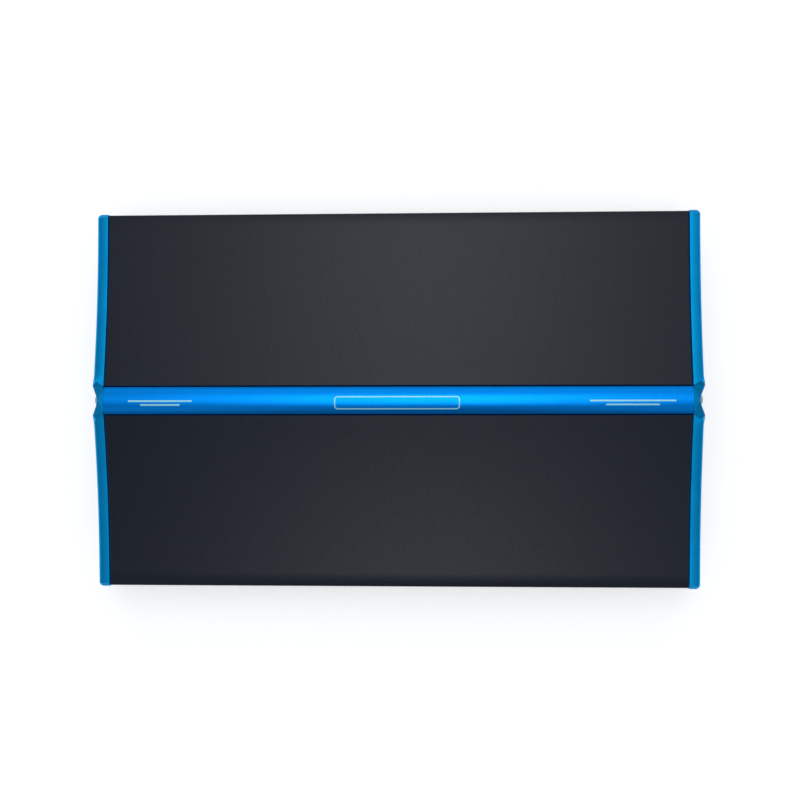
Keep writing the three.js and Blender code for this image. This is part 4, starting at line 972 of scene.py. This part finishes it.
def can_capacitor(node, sleeve, metal):
    """An electrolytic can: sleeve with a crimped waist, turned-over rim and scored lid."""
    low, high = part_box(node)
    centre = middle(node)
    radius, height = (high.x - low.x) / 2, high.z - low.z
    place = standing(centre.x, centre.y, low.z)
    mesh = bmesh.new()
    rim, waist = height - 0.1 * MM, radius - 0.9 * MM
    profile = [
        (radius - 0.6 * MM, 0),
        (radius, 0.5 * MM),
        (radius, height - 5.2 * MM),
        (waist, height - 4.5 * MM),
        (waist, height - 4.0 * MM),
        (radius, height - 3.3 * MM),
        (radius, height - 0.7 * MM),
        (radius - 0.5 * MM, rim),
        (radius - 1.5 * MM, rim),
    ]
    made = skin(mesh, [ring_points(r, 48, z) for r, z in profile], place)
    lid(mesh, made[0], flip=True)
    sunk = [(radius - 1.5 * MM, rim), (radius - 1.7 * MM, height - 0.6 * MM)]
    top = skin(mesh, [ring_points(r, 48, z) for r, z in sunk], place, 1)
    lid(mesh, top[-1], 1)
    for turn in (0, 60, 120):
        bar = place @ Matrix.Rotation(math.radians(turn), 4, "Z")
        slab(mesh, (0, 0, height - 0.6 * MM), (radius * 1.3, 0.5 * MM, 0.2 * MM), bar, 1, 0.06 * MM)
    bmesh.ops.remove_doubles(mesh, verts=mesh.verts, dist=0.001 * MM)
    make_piece(f"{node}_can", mesh, [sleeve, metal], stands_for=[node])


# ---- The scene ----------------------------------------------------------------------------

make_camera()
make_world()
make_lights()
bpy.context.scene.view_settings.view_transform = "Standard"

bpy.ops.mesh.primitive_plane_add(size=14, location=(0, 0, -0.2 * MM))
floor = bpy.context.object
floor.name = "floor"
floor.data.materials.append(plain_floor())

CAPS = blue_caps()
STEEL = black_steel()
ZINC = machined_metal("zinc", (0.62, 0.63, 0.65), 0.32, 0.35, (0.38, 0.38, 0.37))
GOLD = machined_metal("gold_plate", (0.95, 0.66, 0.26), 0.2, 0.25, (0.7, 0.42, 0.14))
BLACK_PLASTIC = moulded_plastic("black_plastic", (0.012, 0.012, 0.013))
KNOB_PLASTIC = moulded_plastic("knob_plastic", (0.02, 0.02, 0.022), 0.34, 0.15 * MM, 0.008 * MM)
WHITE_PLASTIC = moulded_plastic("white_plastic", (0.72, 0.71, 0.68), 0.38)
RED_PLASTIC = moulded_plastic("red_plastic", (0.6, 0.02, 0.02), 0.38)
INK = moulded_plastic("printed_ink", (0.7, 0.71, 0.72), 0.6, 0.3 * MM, 0.004 * MM)
COPPER = enamelled_copper()
SLEEVE = moulded_plastic("shrink_sleeve", (0.012, 0.016, 0.035), 0.25, 1.2 * MM, 0.02 * MM)
BOARD = circuit_board()
FUSE = fuse_body()
# the cap lenses are not lamps: their faint glow is painted light, a pale sheen in the scoops
CLEAR_LENS = tinted_lens("clear_lens", (0.45, 0.6, 0.72), 0.06)

coat(dark_coat(), "heatsink")
coat(blue_trim(), "ridge_trim")
coat(CAPS, "end_cap_left", "end_cap_right")
coat(STEEL, "base_plate", "power_panel", "signal_panel", "output_transistors", "supply_transistors")
coat(BLACK_PLASTIC, *MOULDINGS)
coat(BOARD, "main_board", "signal_board")
coat(tinted_lens("blue_lens", (0.03, 0.16, 0.95), 0.25), "power_lamp")
coat(tinted_lens("red_lens", (0.85, 0.03, 0.02), 0.1), "protect_lamp")
coat(GOLD, *[f"power_clamp_screw_{i}" for i in (1, 2, 3)], *[f"rca_socket_{i}" for i in (1, 2, 3, 4)])
coat(ZINC, *[f"base_screw_{i}" for i in range(1, 7)])
coat(ZINC, *[f"{side}_cap_screw_{i}" for side in ("left", "right") for i in (1, 2)])
coat(ZINC, *[f"{name}_pot" for name in KNOBS], *[f"{name}_switch" for name in SWITCHES])

soften("heatsink", 0.15 * MM)
soften("ridge_trim", 0.25 * MM)
for node in ("end_cap_left", "end_cap_right"):
    soften(node, 0.3 * MM)
for node in ("base_plate", "power_panel", "signal_panel", "main_board", "signal_board"):
    soften(node, 0.15 * MM)
for node in MOULDINGS:
    soften(node, 0.2 * MM)
for node in ("output_transistors", "supply_transistors"):
    soften(node, 0.25 * MM)
for node in NODES:
    if node.startswith(("base_screw", "left_cap_screw", "right_cap_screw", "power_clamp")):
        soften(node, 0.1 * MM)
for node in NODES:
    if node.startswith("rca_socket") or node.endswith(("_pot", "_switch", "_lamp")):
        soften(node, 0.12 * MM)

for side, sign in (("left", -1), ("right", 1)):
    cap_lens(side, sign, CLEAR_LENS)
for name in KNOBS:
    fluted_knob(name, KNOB_PLASTIC, INK)
    dial_marks(name, INK)
for name in SWITCHES:
    ribbed_slider(name, BLACK_PLASTIC)
    switch_marks(name, INK)
for index in (1, 2, 3, 4):
    socket_trim(index, RED_PLASTIC if index in (1, 3) else WHITE_PLASTIC, GOLD)
jack_contacts(GOLD)
speaker_clamps(ZINC, GOLD)
bay_marks(INK)
panel_screws(ZINC)
for index in (1, 2):
    blade_fuse(index, FUSE, ZINC)
wound_ring("power_transformer_1", 72, 0.9 * MM, 8 * MM, COPPER)
wound_ring("power_transformer_2", 72, 0.9 * MM, 8 * MM, COPPER)
wound_ring("input_choke", 30, 1.3 * MM, 5 * MM, COPPER)
for node in ("rail_capacitor_1", "input_capacitor", "rail_capacitor_2"):
    can_capacitor(node, SLEEVE, ZINC)
